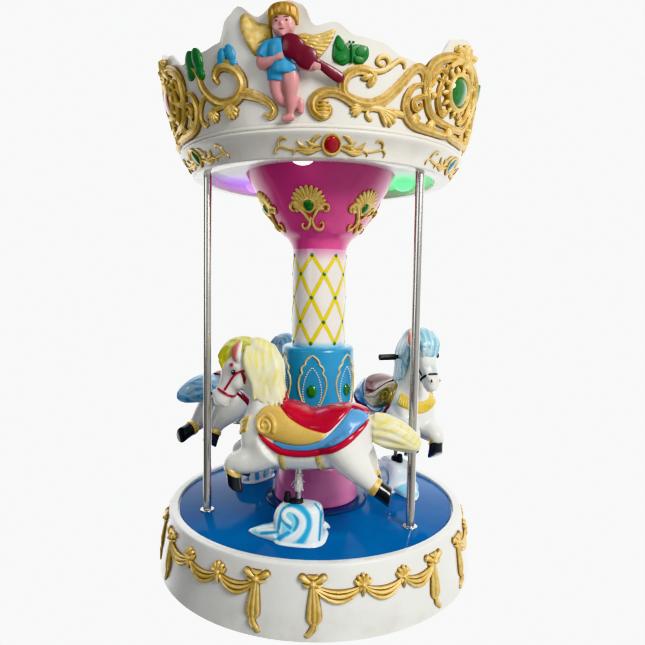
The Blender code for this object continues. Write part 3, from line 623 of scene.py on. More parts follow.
def build_crown(white):
    rows, columns = 9, 49
    for i in range(6):
        angles = HORSE_DEG + SIXTH * i + np.linspace(-30, 30, columns)
        tops = crest_height(angles)
        rings = []
        for angle, top in zip(angles, tops):
            heights = np.linspace(WALL_FOOT_Z, top - 0.008, rows)
            outer = polar(angle, wall_radius(heights), heights)
            inner = polar(angle, wall_radius(heights) - WALL_THICK, heights)[::-1]
            arc = np.radians(np.linspace(20, 160, 5))
            middle = wall_radius(top) - WALL_THICK / 2
            ridge = polar(angle, middle + WALL_THICK / 2 * np.cos(arc), top - 0.008 + 0.008 * np.sin(arc))
            rings.append(np.vstack([outer, ridge, inner]))
        piece(f"crown_panel_{i + 1}", loft(rings), white, "turntable", [f"crown_wall_{i + 1}"], 55)

    top = CEILING_Z + 0.018
    outside = spline([(0.598, 0, 1.804), (0.607, 0, 1.822), (0.621, 0, 1.845), (0.640, 0, 1.868), (0.650, 0, 1.878)], 10)
    band = [(CEILING_EDGE_R + 0.0003, CEILING_Z), (CEILING_EDGE_R + 0.006, 1.806)]
    band += rounded((CEILING_EDGE_R + 0.014, 1.806), 0.006, 180, 270, 4) + rounded((0.590, 1.808), 0.008, 270, 340, 5)
    band += [(p[0], p[2]) for p in outside]
    band += rounded((0.648, 1.889), 0.008, -50, 90, 7)
    band += [(0.6515, 1.898), (0.6485, 1.8995), (0.6515, 1.901), (0.6530, 1.906), (0.6530, 1.910), (0.6505, 1.9135),
             (0.6485, 1.9145), (WALL_FOOT_R, WALL_FOOT_Z), (WALL_FOOT_R - 0.030, WALL_FOOT_Z), (0.582, top),
             (CEILING_EDGE_R + 0.0003, top)]
    piece("crown_moulding", lathe(band, 192), white, "turntable", ["crown_band"], 45)


def sculpt(name, shapes, voxel, smooth=4, keep=0.5):
    """Melt overlapping shapes into one skin."""
    made = bpy.data.objects.new(name, build_mesh(name, merge(shapes)))
    bpy.context.scene.collection.objects.link(made)
    melt = made.modifiers.new("melt", "REMESH")
    melt.mode, melt.voxel_size, melt.adaptivity = "VOXEL", voxel, 0.0
    soften = made.modifiers.new("soften", "SMOOTH")
    soften.factor, soften.iterations = keep, smooth
    bpy.context.view_layer.update()
    mesh = bpy.data.meshes.new_from_object(made.evaluated_get(bpy.context.evaluated_depsgraph_get()))
    bpy.data.objects.remove(made, do_unlink=True)
    mesh.name = name
    return mesh


def bent_mesh(mesh, move):
    points = np.empty(len(mesh.vertices) * 3)
    mesh.vertices.foreach_get("co", points)
    mesh.vertices.foreach_set("co", move(points.reshape(-1, 3)).reshape(-1))
    mesh.update()
    return mesh


# Gold scrolls of the crown, from the child figure at 0: x, z, half width
MAIN_SCROLL = (
    (0.128, 1.974, 0.006), (0.148, 1.962, 0.010), (0.140, 1.943, 0.014), (0.112, 1.936, 0.017), (0.088, 1.952, 0.019),
    (0.083, 1.980, 0.021), (0.100, 2.004, 0.021), (0.135, 2.016, 0.019), (0.170, 2.014, 0.018), (0.205, 2.002, 0.019),
    (0.245, 1.986, 0.023), (0.295, 1.981, 0.024), (0.345, 1.999, 0.023), (0.390, 2.034, 0.022), (0.427, 2.075, 0.021),
    (0.458, 2.113, 0.019), (0.487, 2.131, 0.019), (0.515, 2.120, 0.018), (0.524, 2.092, 0.014), (0.510, 2.074, 0.009))
C_SCROLL = (
    (0.286, 2.044, 0.010), (0.300, 2.060, 0.017), (0.298, 2.080, 0.019), (0.272, 2.092, 0.018), (0.238, 2.090, 0.018),
    (0.207, 2.073, 0.019), (0.193, 2.045, 0.019), (0.198, 2.015, 0.017), (0.222, 1.993, 0.013))
VINES = (
    ((0.262, 2.097, 0.007), (0.298, 2.092, 0.011), (0.330, 2.096, 0.011), (0.359, 2.110, 0.011), (0.382, 2.129, 0.011),
     (0.404, 2.142, 0.011), (0.421, 2.135, 0.010), (0.425, 2.118, 0.006)),
    ((0.345, 2.103, 0.007), (0.360, 2.124, 0.010), (0.345, 2.144, 0.010), (0.321, 2.139, 0.010), (0.314, 2.123, 0.009),
     (0.330, 2.115, 0.007), (0.339, 2.123, 0.006)),
    ((0.262, 1.972, 0.007), (0.325, 1.973, 0.013), (0.380, 1.969, 0.014), (0.436, 1.965, 0.014), (0.478, 1.960, 0.013)),
    ((0.300, 1.968, 0.006), (0.291, 1.950, 0.009), (0.303, 1.936, 0.010), (0.316, 1.934, 0.006)))
LEFT_SCROLLS = (
    ((-0.303, 2.074, 0.010), (-0.318, 2.098, 0.015), (-0.290, 2.126, 0.019), (-0.245, 2.123, 0.022),
     (-0.206, 2.092, 0.022), (-0.192, 2.055, 0.022), (-0.212, 2.020, 0.022), (-0.250, 2.002, 0.022),
     (-0.305, 2.004, 0.021), (-0.360, 2.032, 0.018), (-0.398, 2.075, 0.016), (-0.410, 2.120, 0.013), (-0.440, 2.155, 0.009)),
    ((-0.240, 2.016, 0.011), (-0.205, 2.025, 0.019), (-0.165, 2.019, 0.021), (-0.118, 2.001, 0.018),
     (-0.083, 1.980, 0.016), (-0.069, 1.955, 0.015), (-0.088, 1.937, 0.012), (-0.112, 1.950, 0.007)),
    ((-0.380, 2.050, 0.010), (-0.420, 2.020, 0.013), (-0.440, 1.975, 0.013), (-0.420, 1.945, 0.011), (-0.395, 1.948, 0.007)))
# Butterfly lobes: x, z, half length, half width, lean in degrees
BUTTERFLY_RIM = ((0.151, 2.167), (0.167, 2.198), (0.193, 2.169), (0.215, 2.155), (0.221, 2.171), (0.253, 2.173),
                 (0.276, 2.166), (0.279, 2.135), (0.251, 2.107), (0.218, 2.117), (0.189, 2.103), (0.153, 2.120))
RIGHT_BUTTERFLY = ((0.176, 2.166, 0.024, 0.017, 110), (0.252, 2.150, 0.026, 0.019, 20), (0.180, 2.124, 0.024, 0.013, 8),
                   (0.244, 2.122, 0.022, 0.012, -12))
LEFT_BUTTERFLY = ((-0.448, 2.180, 0.040, 0.030, 60), (-0.400, 2.176, 0.044, 0.028, 100), (-0.455, 2.135, 0.028, 0.020, 20),
                  (-0.398, 2.128, 0.030, 0.022, -40))
BLUE_BUTTERFLY = ((-0.270, 2.158, 0.030, 0.020, 70), (-0.232, 2.164, 0.032, 0.020, 105), (-0.282, 2.132, 0.015, 0.010, 10),
                  (-0.222, 2.130, 0.017, 0.012, -20))
# The medallion's left half, from its centre
MEDALLION_STROKES = (
    ((0.004, 2.203, 0.013), (-0.073, 2.206, 0.018), (-0.145, 2.181, 0.022), (-0.189, 2.144, 0.022), (-0.199, 2.101, 0.021),
     (-0.188, 2.051, 0.019), (-0.167, 2.009, 0.018), (-0.134, 1.982, 0.017), (-0.075, 1.970, 0.016), (0.004, 1.968, 0.013)),
    ((-0.222, 2.078, 0.008), (-0.258, 2.064, 0.013), (-0.280, 2.028, 0.017), (-0.282, 1.991, 0.018), (-0.260, 1.954, 0.019),
     (-0.214, 1.936, 0.019), (-0.142, 1.931, 0.018), (-0.060, 1.930, 0.016), (0.004, 1.934, 0.013)),
    ((-0.186, 2.070, 0.008), (-0.168, 2.094, 0.012), (-0.163, 2.129, 0.013), (-0.135, 2.149, 0.013), (-0.108, 2.135, 0.012),
     (-0.118, 2.114, 0.009), (-0.140, 2.116, 0.006)),
    ((-0.190, 2.045, 0.008), (-0.223, 2.034, 0.012), (-0.249, 2.013, 0.013), (-0.233, 1.991, 0.012), (-0.206, 2.002, 0.009),
     (-0.215, 2.018, 0.005)),
    ((-0.098, 2.172, 0.008), (-0.122, 2.090, 0.012), (-0.120, 2.040, 0.013), (-0.088, 2.000, 0.012), (-0.050, 2.004, 0.008)))
GEM_AT, GEM_HALF = (0.0, 2.095), (0.064, 0.054)


def ring_stroke(centre, half, width, height, section=HALF_ROUND, steps=40):
    """A closed elliptical stroke."""
    turns = np.arange(steps) * 2 * math.pi / steps
    across, rise, ridge = np.array(section).T
    reach = [(half[k] + width * across) for k in (0, 1)]
    rings = np.stack([centre[0] + np.cos(turns)[:, None] * reach[0],
                      np.broadcast_to(height * rise - SUNK * (rise == 0), (steps, len(across))),
                      centre[1] + np.sin(turns)[:, None] * reach[1]], -1)
    return Shape(rings.reshape(-1, 3), grid_faces(steps, len(across), True), np.tile(ridge, steps))


def crown_wall_wrap(centre_deg):
    return wrap(wall_radius, WALL_TURN_R, centre_deg)


def butterfly(lobes, rim=None):
    """Rounded wing lobes (x, z, half length, half width, lean) on either side of a body, over a rim."""
    shapes = [plate(rim, 0.010, 72)] if rim else []
    for x, z, wide, tall, lean in lobes:
        a = math.radians(lean)
        shapes.append(plate([(x + wide * math.cos(t) * math.cos(a) - tall * math.sin(t) * math.sin(a),
                              z + wide * math.cos(t) * math.sin(a) + tall * math.sin(t) * math.cos(a))
                             for t in np.arange(12) * math.pi / 6], 0.015 if rim else 0.013))
    return shapes


def build_scrolls(gold):
    """The gold relief between the figures and the medallions."""
    bend = crown_wall_wrap(HORSE_DEG)
    shapes = [stroke(rows, 0.020, BEADED) for rows in (MAIN_SCROLL, C_SCROLL, LEFT_SCROLLS[0], LEFT_SCROLLS[1])]
    shapes += [stroke(rows, 0.013) for rows in (*VINES, LEFT_SCROLLS[2])]
    shapes += fan((0.335, 1.976), -28, 52, 0.092, 5, 0.0100, 0.017)
    shapes += fan((0.275, 1.972), 202, 56, 0.054, 5, 0.0070, 0.014)
    shapes += fan((-0.352, 1.994), 268, 84, 0.052, 6, 0.0085, 0.017)
    shapes += fan((-0.256, 1.996), 268, 96, 0.054, 6, 0.0095, 0.019)
    shapes.append(stroke([(-0.398, 1.962, 0.005), (-0.372, 1.982, 0.009), (-0.320, 1.990, 0.010), (-0.268, 1.992, 0.008)], 0.016))
    for k in range(5):      # the rolled end of the main scroll
        reach = 0.026 * math.sin(math.radians(38 + 26 * k))
        level = 1.985 - 0.0125 * k
        shapes.append(stroke([(0.121 - reach, level, 0.004), (0.123, level - 0.002, 0.0085), (0.125 + reach, level, 0.004)], 0.020))
    shapes.append(stroke([(0.305, 2.080, 0.008), (0.276, 2.070, 0.013), (0.258, 2.066, 0.005)], 0.019))
    thrice("gold_scrolls", [s.moved(bend) for s in shapes], gold)


def build_butterflies(green, blue):
    bend = crown_wall_wrap(HORSE_DEG)
    greens = butterfly(RIGHT_BUTTERFLY, BUTTERFLY_RIM) + butterfly(LEFT_BUTTERFLY)
    greens.append(stroke([(0.212, 2.170, 0.004), (0.217, 2.146, 0.007), (0.219, 2.112, 0.005)], 0.021))
    greens += [ball((x, 0.010, 2.176), (0.005, 0.006, 0.004), 10, 8) for x in (0.207, 0.220)]
    thrice("green_butterflies", [s.moved(bend) for s in greens], green)
    thrice("blue_butterflies", [s.moved(bend) for s in butterfly(BLUE_BUTTERFLY)], blue)


def build_medallions(gold, gems):
    bend = crown_wall_wrap(POLE_DEG)
    shapes = []
    for rows in MEDALLION_STROKES:
        shapes += [stroke(rows, 0.024, BEADED), stroke(mirrored(rows), 0.024, BEADED)]
    shapes.append(ring_stroke(GEM_AT, (GEM_HALF[0] + 0.010, GEM_HALF[1] + 0.010), 0.012, 0.030))
    for k in range(14):      # leaves that spread from the stone
        turn = math.radians(360 * k / 14 + 12)
        leaf = [(GEM_AT[0] + (GEM_HALF[0] + reach) * math.cos(turn), GEM_AT[1] + (GEM_HALF[1] + reach) * math.sin(turn), half)
                for reach, half in ((0.010, 0.008), (0.024, 0.012), (0.040, 0.005))]
        shapes.append(stroke(leaf, 0.022))
    shapes += fan((0, 2.196), 90, 168, 0.074, 9, 0.0125, 0.024)
    shapes += fan((0, 2.186), 90, 120, 0.046, 5, 0.0100, 0.029)
    shapes += fan((0, 1.962), -90, 140, 0.040, 7, 0.0095, 0.022)
    for side in (-1, 1):
        shapes += fan((0.228 * side, 1.978), 272, 96, 0.040, 5, 0.0085, 0.020)
        shapes += fan((0.135 * side, 1.972), 270, 80, 0.040, 5, 0.0085, 0.018)
        shapes += fan((0.205 * side, 2.050), 90 + 60 * side, 70, 0.044, 4, 0.0085, 0.018)
        shapes += fan((0.060 * side, 1.992), 90 - 40 * side, 60, 0.036, 4, 0.0075, 0.018)
        shapes.append(stroke([(0.090 * side, 2.165, 0.012), (0.062 * side, 2.190, 0.015), (0.028 * side, 2.196, 0.008)], 0.024))
        shapes += [ball((0.066 * side, 0.012, 2.238), (0.014, 0.016, 0.014), 14, 10),
                   ball((0.154 * side, 0.010, 2.052), (0.012, 0.014, 0.012), 14, 10)]
    thrice("medallion_relief", [s.moved(bend) for s in shapes], gold, "medallion")
    stone = ball((GEM_AT[0], 0.012, GEM_AT[1]), (GEM_HALF[0], 0.022, GEM_HALF[1]), 32, 16).moved(bend)
    mesh = build_mesh("medallion_stone", stone)
    for i, paint in enumerate(gems):
        piece(f"medallion_stone_{i + 1}", mesh if i == 0 else mesh.copy(), paint, "turntable", turn_deg=THIRD * i)


# The band under the crown wall: foliage on the right of a stone
BAND_TURN_R = 0.625
BAND_FACE = ((0.603, 1.812), (0.610, 1.828), (0.621, 1.845), (0.634, 1.861), (0.648, 1.876))
BAND_GEM_DEG = -86.5
BAND_GEM_Z, BAND_GEM_HALF = 1.843, 0.028
BAND_STROKES = (
    ((0.036, 1.831, 0.005), (0.072, 1.823, 0.007), (0.110, 1.828, 0.005), (0.150, 1.828, 0.005), (0.190, 1.837, 0.005),
     (0.201, 1.838, 0.004)),
    ((0.201, 1.836, 0.004), (0.197, 1.856, 0.005), (0.178, 1.866, 0.005), (0.166, 1.860, 0.003)),
    ((0.200, 1.840, 0.004), (0.216, 1.828, 0.005), (0.214, 1.816, 0.003)),
    ((0.082, 1.842, 0.004), (0.062, 1.862, 0.008), (0.040, 1.872, 0.003)),
    ((0.044, 1.842, 0.004), (0.072, 1.841, 0.008), (0.092, 1.856, 0.003)),
    ((0.088, 1.834, 0.004), (0.116, 1.842, 0.007), (0.128, 1.856, 0.003)),
    ((0.050, 1.826, 0.004), (0.088, 1.816, 0.007), (0.122, 1.822, 0.003)),
    ((0.118, 1.832, 0.004), (0.140, 1.824, 0.005), (0.144, 1.813, 0.003)),
    ((0.096, 1.828, 0.004), (0.078, 1.832, 0.007), (0.060, 1.848, 0.003)))


def band_radius(z):
    face = np.array(BAND_FACE)
    return np.interp(z, face[:, 1], face[:, 0])


def build_band_relief(gold, gems):
    shapes = []
    for rows in BAND_STROKES:
        shapes += [stroke(rows, 0.0085), stroke(mirrored(rows), 0.0085)]
    shapes.append(ring_stroke((0, BAND_GEM_Z), (BAND_GEM_HALF + 0.005, BAND_GEM_HALF + 0.003), 0.006, 0.011))
    bend = wrap(band_radius, BAND_TURN_R, BAND_GEM_DEG)
    relief = build_mesh("band_relief", merge([s.moved(bend) for s in shapes]))
    stone = ball((0, 0.002, BAND_GEM_Z), (BAND_GEM_HALF, 0.015, BAND_GEM_HALF - 0.002), 24, 14).moved(bend)
    stones = [build_mesh("band_stone", stone) for _ in gems]
    for i in range(6):
        piece(f"band_relief_{i + 1}", relief, gold, "turntable", turn_deg=SIXTH * i)
        kind = i % len(gems)
        piece(f"band_stone_{i + 1}", stones[kind], gems[kind], "turntable", turn_deg=SIXTH * i)


# The child figure with a violin, drawn on the crown wall: x, out, z and radius
FIGURE_SKIN = (
    ((-0.075, 0.028, 2.150, 0.022), (-0.098, 0.036, 2.108, 0.021), (-0.072, 0.050, 2.103, 0.018),
     (-0.040, 0.060, 2.112, 0.014), (-0.020, 0.064, 2.116, 0.014)),
    ((0.030, 0.042, 2.096, 0.016), (0.070, 0.052, 2.084, 0.015), (0.092, 0.058, 2.084, 0.015)),
    ((0.000, 0.024, 2.088, 0.032), (0.003, 0.030, 2.040, 0.031), (0.001, 0.028, 2.000, 0.023),
     (0.001, 0.024, 1.975, 0.021), (-0.004, 0.018, 1.940, 0.013), (-0.004, 0.018, 1.930, 0.013)),
    ((0.012, 0.018, 1.928, 0.010), (-0.010, 0.022, 1.928, 0.013), (-0.036, 0.028, 1.922, 0.009)),
    ((-0.048, 0.022, 2.070, 0.032), (-0.052, 0.022, 2.020, 0.024), (-0.040, 0.018, 1.990, 0.020), (-0.010, 0.012, 1.978, 0.014)),
    ((0.016, 0.010, 1.986, 0.012), (0.034, 0.012, 1.982, 0.014), (0.036, 0.014, 1.955, 0.013), (0.035, 0.014, 1.942, 0.011)),
    ((-0.020, 0.030, 2.196, 0.020), (-0.022, 0.026, 2.165, 0.022)))
FIGURE_SHIRT = (
    ((-0.022, 0.026, 2.178, 0.024), (-0.030, 0.030, 2.150, 0.044), (-0.034, 0.030, 2.118, 0.044), (-0.030, 0.028, 2.095, 0.040)),
    ((-0.050, 0.026, 2.160, 0.028), (-0.078, 0.032, 2.146, 0.028), (-0.094, 0.036, 2.122, 0.026)),
    ((0.000, 0.026, 2.160, 0.028), (0.022, 0.030, 2.142, 0.026)))
FIGURE_SHORTS = (
    ((-0.026, 0.028, 2.104, 0.040), (-0.024, 0.028, 2.080, 0.048), (-0.024, 0.028, 2.066, 0.046)),
    ((-0.046, 0.026, 2.082, 0.036), (-0.050, 0.024, 2.048, 0.034)),
    ((0.002, 0.030, 2.092, 0.034), (0.004, 0.032, 2.070, 0.034)))
VIOLIN_BODY = (
    (-0.020, 0.056, 2.160, 0.016), (-0.006, 0.060, 2.156, 0.034), (0.018, 0.062, 2.144, 0.040), (0.040, 0.062, 2.128, 0.032),
    (0.060, 0.062, 2.112, 0.037), (0.082, 0.060, 2.102, 0.033), (0.098, 0.058, 2.096, 0.014))
VIOLIN_NECK = ((0.080, 0.058, 2.106, 0.013), (0.110, 0.052, 2.090, 0.015), (0.145, 0.044, 2.071, 0.019), (0.172, 0.036, 2.058, 0.020))
FIGURE_HEAD = (-0.014, 0.034, 2.228)
FIGURE_DEPTH = 0.76        # the figure is slightly flattened against the wall
LEFT_WING_RIM = ((-0.060, 2.190), (-0.066, 2.232), (-0.107, 2.244), (-0.130, 2.264), (-0.150, 2.278), (-0.168, 2.275),
                 (-0.180, 2.252), (-0.173, 2.206), (-0.152, 2.168), (-0.128, 2.142), (-0.095, 2.158))
RIGHT_WING_RIM = ((0.010, 2.180), (0.020, 2.195), (0.050, 2.202), (0.092, 2.196), (0.128, 2.202), (0.158, 2.213),
                  (0.146, 2.180), (0.126, 2.148), (0.098, 2.122), (0.072, 2.140), (0.030, 2.160))


def wing(rim, root, tips, half, bow, height):
    """Feathers that sweep from a root over a plate, bowed to one side."""
    shapes = [plate(rim, height)]
    for row, (start, reach) in enumerate(((0.22, 1.0), (0.08, 0.66), (0.0, 0.38))):
        for tip in spline([(x, 0, z) for x, z in tips], 9 - 2 * row):
            x, z = tip[0] - root[0], tip[2] - root[1]
            steps = ((start, 0.5), (start + (reach - start) * 0.55, 1.0), (reach * 0.90, 0.8), (reach, 0.2))
            shapes.append(stroke([(root[0] + x * s - bow * z * s * (1 - s), root[1] + z * s + bow * x * s * (1 - s), half * w)
                                  for s, w in steps], height + 0.005 * (row + 1)))
    return shapes


def build_figures(paints, gold):
    flat = crown_wall_wrap(HORSE_DEG)

    def bend(p):
        return flat(p * (1, FIGURE_DEPTH, 1))

    def limbs(routes):
        return [bar(rows, 14, 6 * len(rows), (0, 1, 0.01)) for rows in routes]

    def figure_part(name, shapes, paint, voxel=0.0042, smooth=3, node=""):
        mesh = bent_mesh(sculpt(name, shapes, voxel, smooth), bend)
        for i in range(3):
            hidden = [f"{node}_{i + 1}"] if node else []
            piece(f"{name}_{i + 1}", mesh, paint, "turntable", hidden, 60, THIRD * i)

    x, out, z = FIGURE_HEAD
    face = [ball((x, out, z - 0.004), (0.040, 0.038, 0.046), 28, 18), ball((x, out + 0.018, z - 0.028), (0.026, 0.020, 0.020))]
    face += [ball((x + side * 0.020, out + 0.022, z - 0.022), (0.015, 0.013, 0.014)) for side in (-1, 1)]
    face.append(ball((x, out + 0.040, z - 0.014), (0.0055, 0.0065, 0.0065)))
    face.append(ball((x, out + 0.030, z - 0.043), (0.010, 0.009, 0.008)))
    fingers = [bar([(0.088 + 0.008 * k, 0.066, 2.096 - 0.003 * k, 0.004), (0.092 + 0.008 * k, 0.072, 2.082, 0.0045),
                    (0.090 + 0.008 * k, 0.068, 2.070, 0.004)], 8) for k in range(3)]
    fingers += [bar([(-0.034, 0.070, 2.122 - 0.008 * k, 0.0045), (-0.010, 0.076, 2.124 - 0.008 * k, 0.004)], 8, 6) for k in range(3)]
    figure_part("figure_skin", limbs(FIGURE_SKIN) + face + fingers, paints["skin"], node="cherub")
    figure_part("figure_shirt", limbs(FIGURE_SHIRT), paints["blue"])
    figure_part("figure_shorts", limbs(FIGURE_SHORTS), paints["blue"])

    hair = [ball((x, out - 0.006, z + 0.017), (0.0465, 0.0405, 0.0390), 28, 18)]
    for turn in range(-100, 101, 20):      # combed from the crown to a fringe above the brow
        a = math.radians(turn)
        low = z + 0.014 - 0.020 * (1 - math.cos(a))
        hair.append(bar([(x, out - 0.004, z + 0.055, 0.005), (x + 0.028 * math.sin(a), out + 0.022 * math.cos(a), z + 0.048, 0.009),
                         (x + 0.042 * math.sin(a), out + 0.034 * math.cos(a), z + 0.032, 0.010),
                         (x + 0.044 * math.sin(a), out + 0.036 * math.cos(a), low, 0.007)], 10, 14))
    figure_part("figure_hair", hair, paints["hair"], 0.0034, 2)

    body = bar(VIOLIN_BODY, 18, 40, (0, 1, 0.01), 0.42)
    neck = bar(VIOLIN_NECK, 14, 24, (0, 1, 0.01), 0.60)
    scroll = ball((0.174, 0.036, 2.057), (0.019, 0.013, 0.019))
    figure_part("figure_violin", [body, neck, scroll], paints["violin"], 0.0040, 2)

    wings = [plate(LEFT_WING_RIM, 0.016, 72)]
    wings += [stroke([(-0.070, 2.190 - 0.014 * k, 0.005), (-0.098, 2.182 - 0.014 * k, 0.008), (-0.128, 2.172 - 0.008 * k, 0.003)], 0.019)
              for k in range(3)]
    wings += wing(RIGHT_WING_RIM, (0.014, 2.184), ((0.158, 2.212), (0.150, 2.188), (0.138, 2.166), (0.124, 2.148),
                                                   (0.108, 2.132), (0.090, 2.124), (0.070, 2.136)), 0.0095, -0.30, 0.007)
    thrice("figure_wings", [s.moved(bend) for s in wings], gold)

    def details(name, shapes, paint):
        thrice(name, [s.moved(bend) for s in shapes], paint)
    details("figure_eyes", [ball((x + side * 0.0155, out + 0.0335, z - 0.004), (0.0050, 0.0032, 0.0030), 12, 8)
                            for side in (-1, 1)], paints["brown"])
    brows = [bar([(x + side * 0.008, out + 0.0375, z + 0.0050, 0.0009), (x + side * 0.016, out + 0.0360, z + 0.0072, 0.0012),
                  (x + side * 0.024, out + 0.0310, z + 0.0050, 0.0008)], 6, 8) for side in (-1, 1)]
    details("figure_brows", brows, paints["brown"])
    details("figure_lips", [bar([(x - 0.009, out + 0.0372, z - 0.0285, 0.0010), (x, out + 0.0400, z - 0.0300, 0.0022),
                                 (x + 0.009, out + 0.0372, z - 0.0285, 0.0010)], 8, 12)], paints["lips"])


# Horses, each in its own frame: X forward, Y away from the column, Z up, with its lift rod at X = 0
TORSO = (      # x, y, z, half depth, half width
    (0.240, 0, 0.718, 0.030, 0.034), (0.224, 0, 0.718, 0.078, 0.084), (0.184, 0, 0.710, 0.126, 0.108),
    (0.112, 0, 0.700, 0.142, 0.121), (0.020, 0, 0.688, 0.130, 0.124), (-0.080, 0, 0.688, 0.120, 0.122),
    (-0.170, 0, 0.708, 0.124, 0.122), (-0.240, 0, 0.728, 0.112, 0.108), (-0.290, 0, 0.740, 0.080, 0.078), (-0.306, 0, 0.742, 0.040, 0.040))
SADDLE_FORM = (
    (0.158, 0, 0.755, 0.050, 0.088), (0.120, 0, 0.746, 0.086, 0.116), (0.060, 0, 0.735, 0.103, 0.126),
    (0.000, 0, 0.715, 0.105, 0.129), (-0.062, 0, 0.712, 0.095, 0.128), (-0.125, 0, 0.720, 0.094, 0.125),
    (-0.187, 0, 0.735, 0.098, 0.120), (-0.235, 0, 0.748, 0.093, 0.110), (-0.284, 0, 0.768, 0.050, 0.078))
NECK = (
    (0.138, 0, 0.770, 0.094, 0.092), (0.136, 0, 0.830, 0.078, 0.070), (0.136, 0, 0.890, 0.070, 0.056),
    (0.146, 0, 0.950, 0.068, 0.048), (0.166, 0, 1.010, 0.066, 0.040), (0.190, 0, 1.046, 0.046, 0.032), (0.202, 0, 1.062, 0.024, 0.020))
HEAD = (
    (0.226, 0, 1.064, 0.044, 0.034), (0.250, 0, 1.020, 0.060, 0.046), (0.266, 0, 0.985, 0.066, 0.051), (0.283, 0, 0.948, 0.058, 0.048),
    (0.298, 0, 0.905, 0.046, 0.041), (0.320, 0, 0.865, 0.042, 0.037), (0.340, 0, 0.836, 0.037, 0.035), (0.352, 0, 0.817, 0.022, 0.024))
TAIL = (
    (-0.262, 0, 0.752, 0.040, 0.040), (-0.310, 0, 0.750, 0.052, 0.040), (-0.360, 0, 0.738, 0.058, 0.040),
    (-0.420, 0, 0.720, 0.052, 0.036), (-0.470, 0, 0.700, 0.038, 0.028), (-0.500, 0, 0.688, 0.016, 0.014))
LEGS = (       # x, y, z, radius
    ((0.120, 0.050, 0.655, 0.092), (0.164, 0.058, 0.620, 0.070), (0.215, 0.066, 0.598, 0.056), (0.252, 0.068, 0.588, 0.045),
     (0.266, 0.068, 0.574, 0.039), (0.265, 0.068, 0.552, 0.033)),
    ((0.130, -0.050, 0.670, 0.088), (0.190, -0.060, 0.630, 0.062), (0.240, -0.066, 0.614, 0.050), (0.272, -0.066, 0.600, 0.040),
     (0.276, -0.066, 0.582, 0.034), (0.272, -0.066, 0.562, 0.030)),
    ((-0.175, 0.050, 0.712, 0.104), (-0.215, 0.062, 0.652, 0.084), (-0.255, 0.070, 0.600, 0.062), (-0.290, 0.070, 0.560, 0.044),
     (-0.312, 0.070, 0.540, 0.036), (-0.325, 0.070, 0.530, 0.032)),
    ((-0.185, -0.050, 0.715, 0.104), (-0.230, -0.062, 0.650, 0.080), (-0.268, -0.068, 0.604, 0.058), (-0.290, -0.070, 0.570, 0.042),
     (-0.297, -0.070, 0.546, 0.035), (-0.300, -0.070, 0.530, 0.031)))
HOOVES = (     # centre of the gold band, centre of the sole, facing of the band, facing of the sole
    ((0.265, 0.068, 0.556), (0.254, 0.068, 0.484), (0.42, 0, -0.91), (0.55, 0, -0.83)),
    ((0.272, -0.066, 0.570), (0.262, -0.066, 0.506), (0.42, 0, -0.91), (0.55, 0, -0.83)),
    ((-0.323, 0.070, 0.529), (-0.386, 0.070, 0.488), (-0.84, 0, -0.54), (-0.98, 0, -0.19)),
    ((-0.300, -0.070, 0.536), (-0.318, -0.070, 0.474), (-0.28, 0, -0.96), (-0.40, 0, -0.92)))
HOOF_ROWS = ((-0.12, 0.030), (0.10, 0.0345), (0.50, 0.0360), (0.92, 0.0385), (1.0, 0.0355))   # share of its length, radius
BAND_ROWS = ((-0.20, 0.0320), (-0.17, 0.0360), (-0.10, 0.0378), (0.12, 0.0385), (0.17, 0.0370), (0.19, 0.0330))
ROCK_PIVOT, ROCK_DEG = (-0.060, 0, 0.740), (0.0, 4.0, -13.0)      # nose up, of each horse
EAR_ROWS = ((0.256, 0.046, 1.006, 0.018), (0.258, 0.056, 1.030, 0.025), (0.249, 0.060, 1.060, 0.020), (0.232, 0.056, 1.094, 0.003))
EYE_AT, EYE_R = (0.268, 0.960), 0.0135
# Edges of the saddle's parts as seen from the side: x, z
SEAT_TOP = ((0.066, 0.832), (0.040, 0.842), (0.002, 0.823), (-0.062, 0.808), (-0.125, 0.815), (-0.187, 0.834), (-0.235, 0.842), (-0.284, 0.822))
SEAT_LOW = ((0.064, 0.826), (0.026, 0.799), (-0.024, 0.771), (-0.074, 0.755), (-0.123, 0.747), (-0.147, 0.753),
            (-0.171, 0.779), (-0.207, 0.822), (-0.236, 0.836), (-0.284, 0.818))
PANEL_TOP = ((0.158, 0.766), (0.156, 0.794), (0.138, 0.824), (0.096, 0.838), (0.062, 0.828), (0.026, 0.800),
             (-0.024, 0.772), (-0.074, 0.756), (-0.118, 0.748), (-0.134, 0.746))
PANEL_LOW = ((0.158, 0.766), (0.152, 0.742), (0.132, 0.724), (0.100, 0.712), (0.061, 0.700), (0.020, 0.694),
             (-0.017, 0.692), (-0.064, 0.699), (-0.108, 0.716), (-0.134, 0.742))
SKIRT_UP = ((0.082, 0.704), (0.061, 0.702), (0.020, 0.696), (-0.017, 0.694), (-0.064, 0.701), (-0.114, 0.719), (-0.150, 0.749),
            (-0.186, 0.791), (-0.212, 0.823), (-0.236, 0.834), (-0.270, 0.828), (-0.287, 0.806))
SKIRT_LOW = ((0.082, 0.698), (0.045, 0.676), (0.022, 0.672), (-0.004, 0.670), (-0.054, 0.672), (-0.109, 0.684), (-0.169, 0.708),
             (-0.205, 0.731), (-0.240, 0.756), (-0.262, 0.772), (-0.280, 0.788), (-0.290, 0.800))
EDGE_UP = ((0.143, 0.733), (0.115, 0.714), (0.089, 0.699), (0.045, 0.678), (-0.004, 0.671), (-0.054, 0.673), (-0.109, 0.685),
           (-0.169, 0.709), (-0.223, 0.745), (-0.262, 0.773), (-0.288, 0.796))
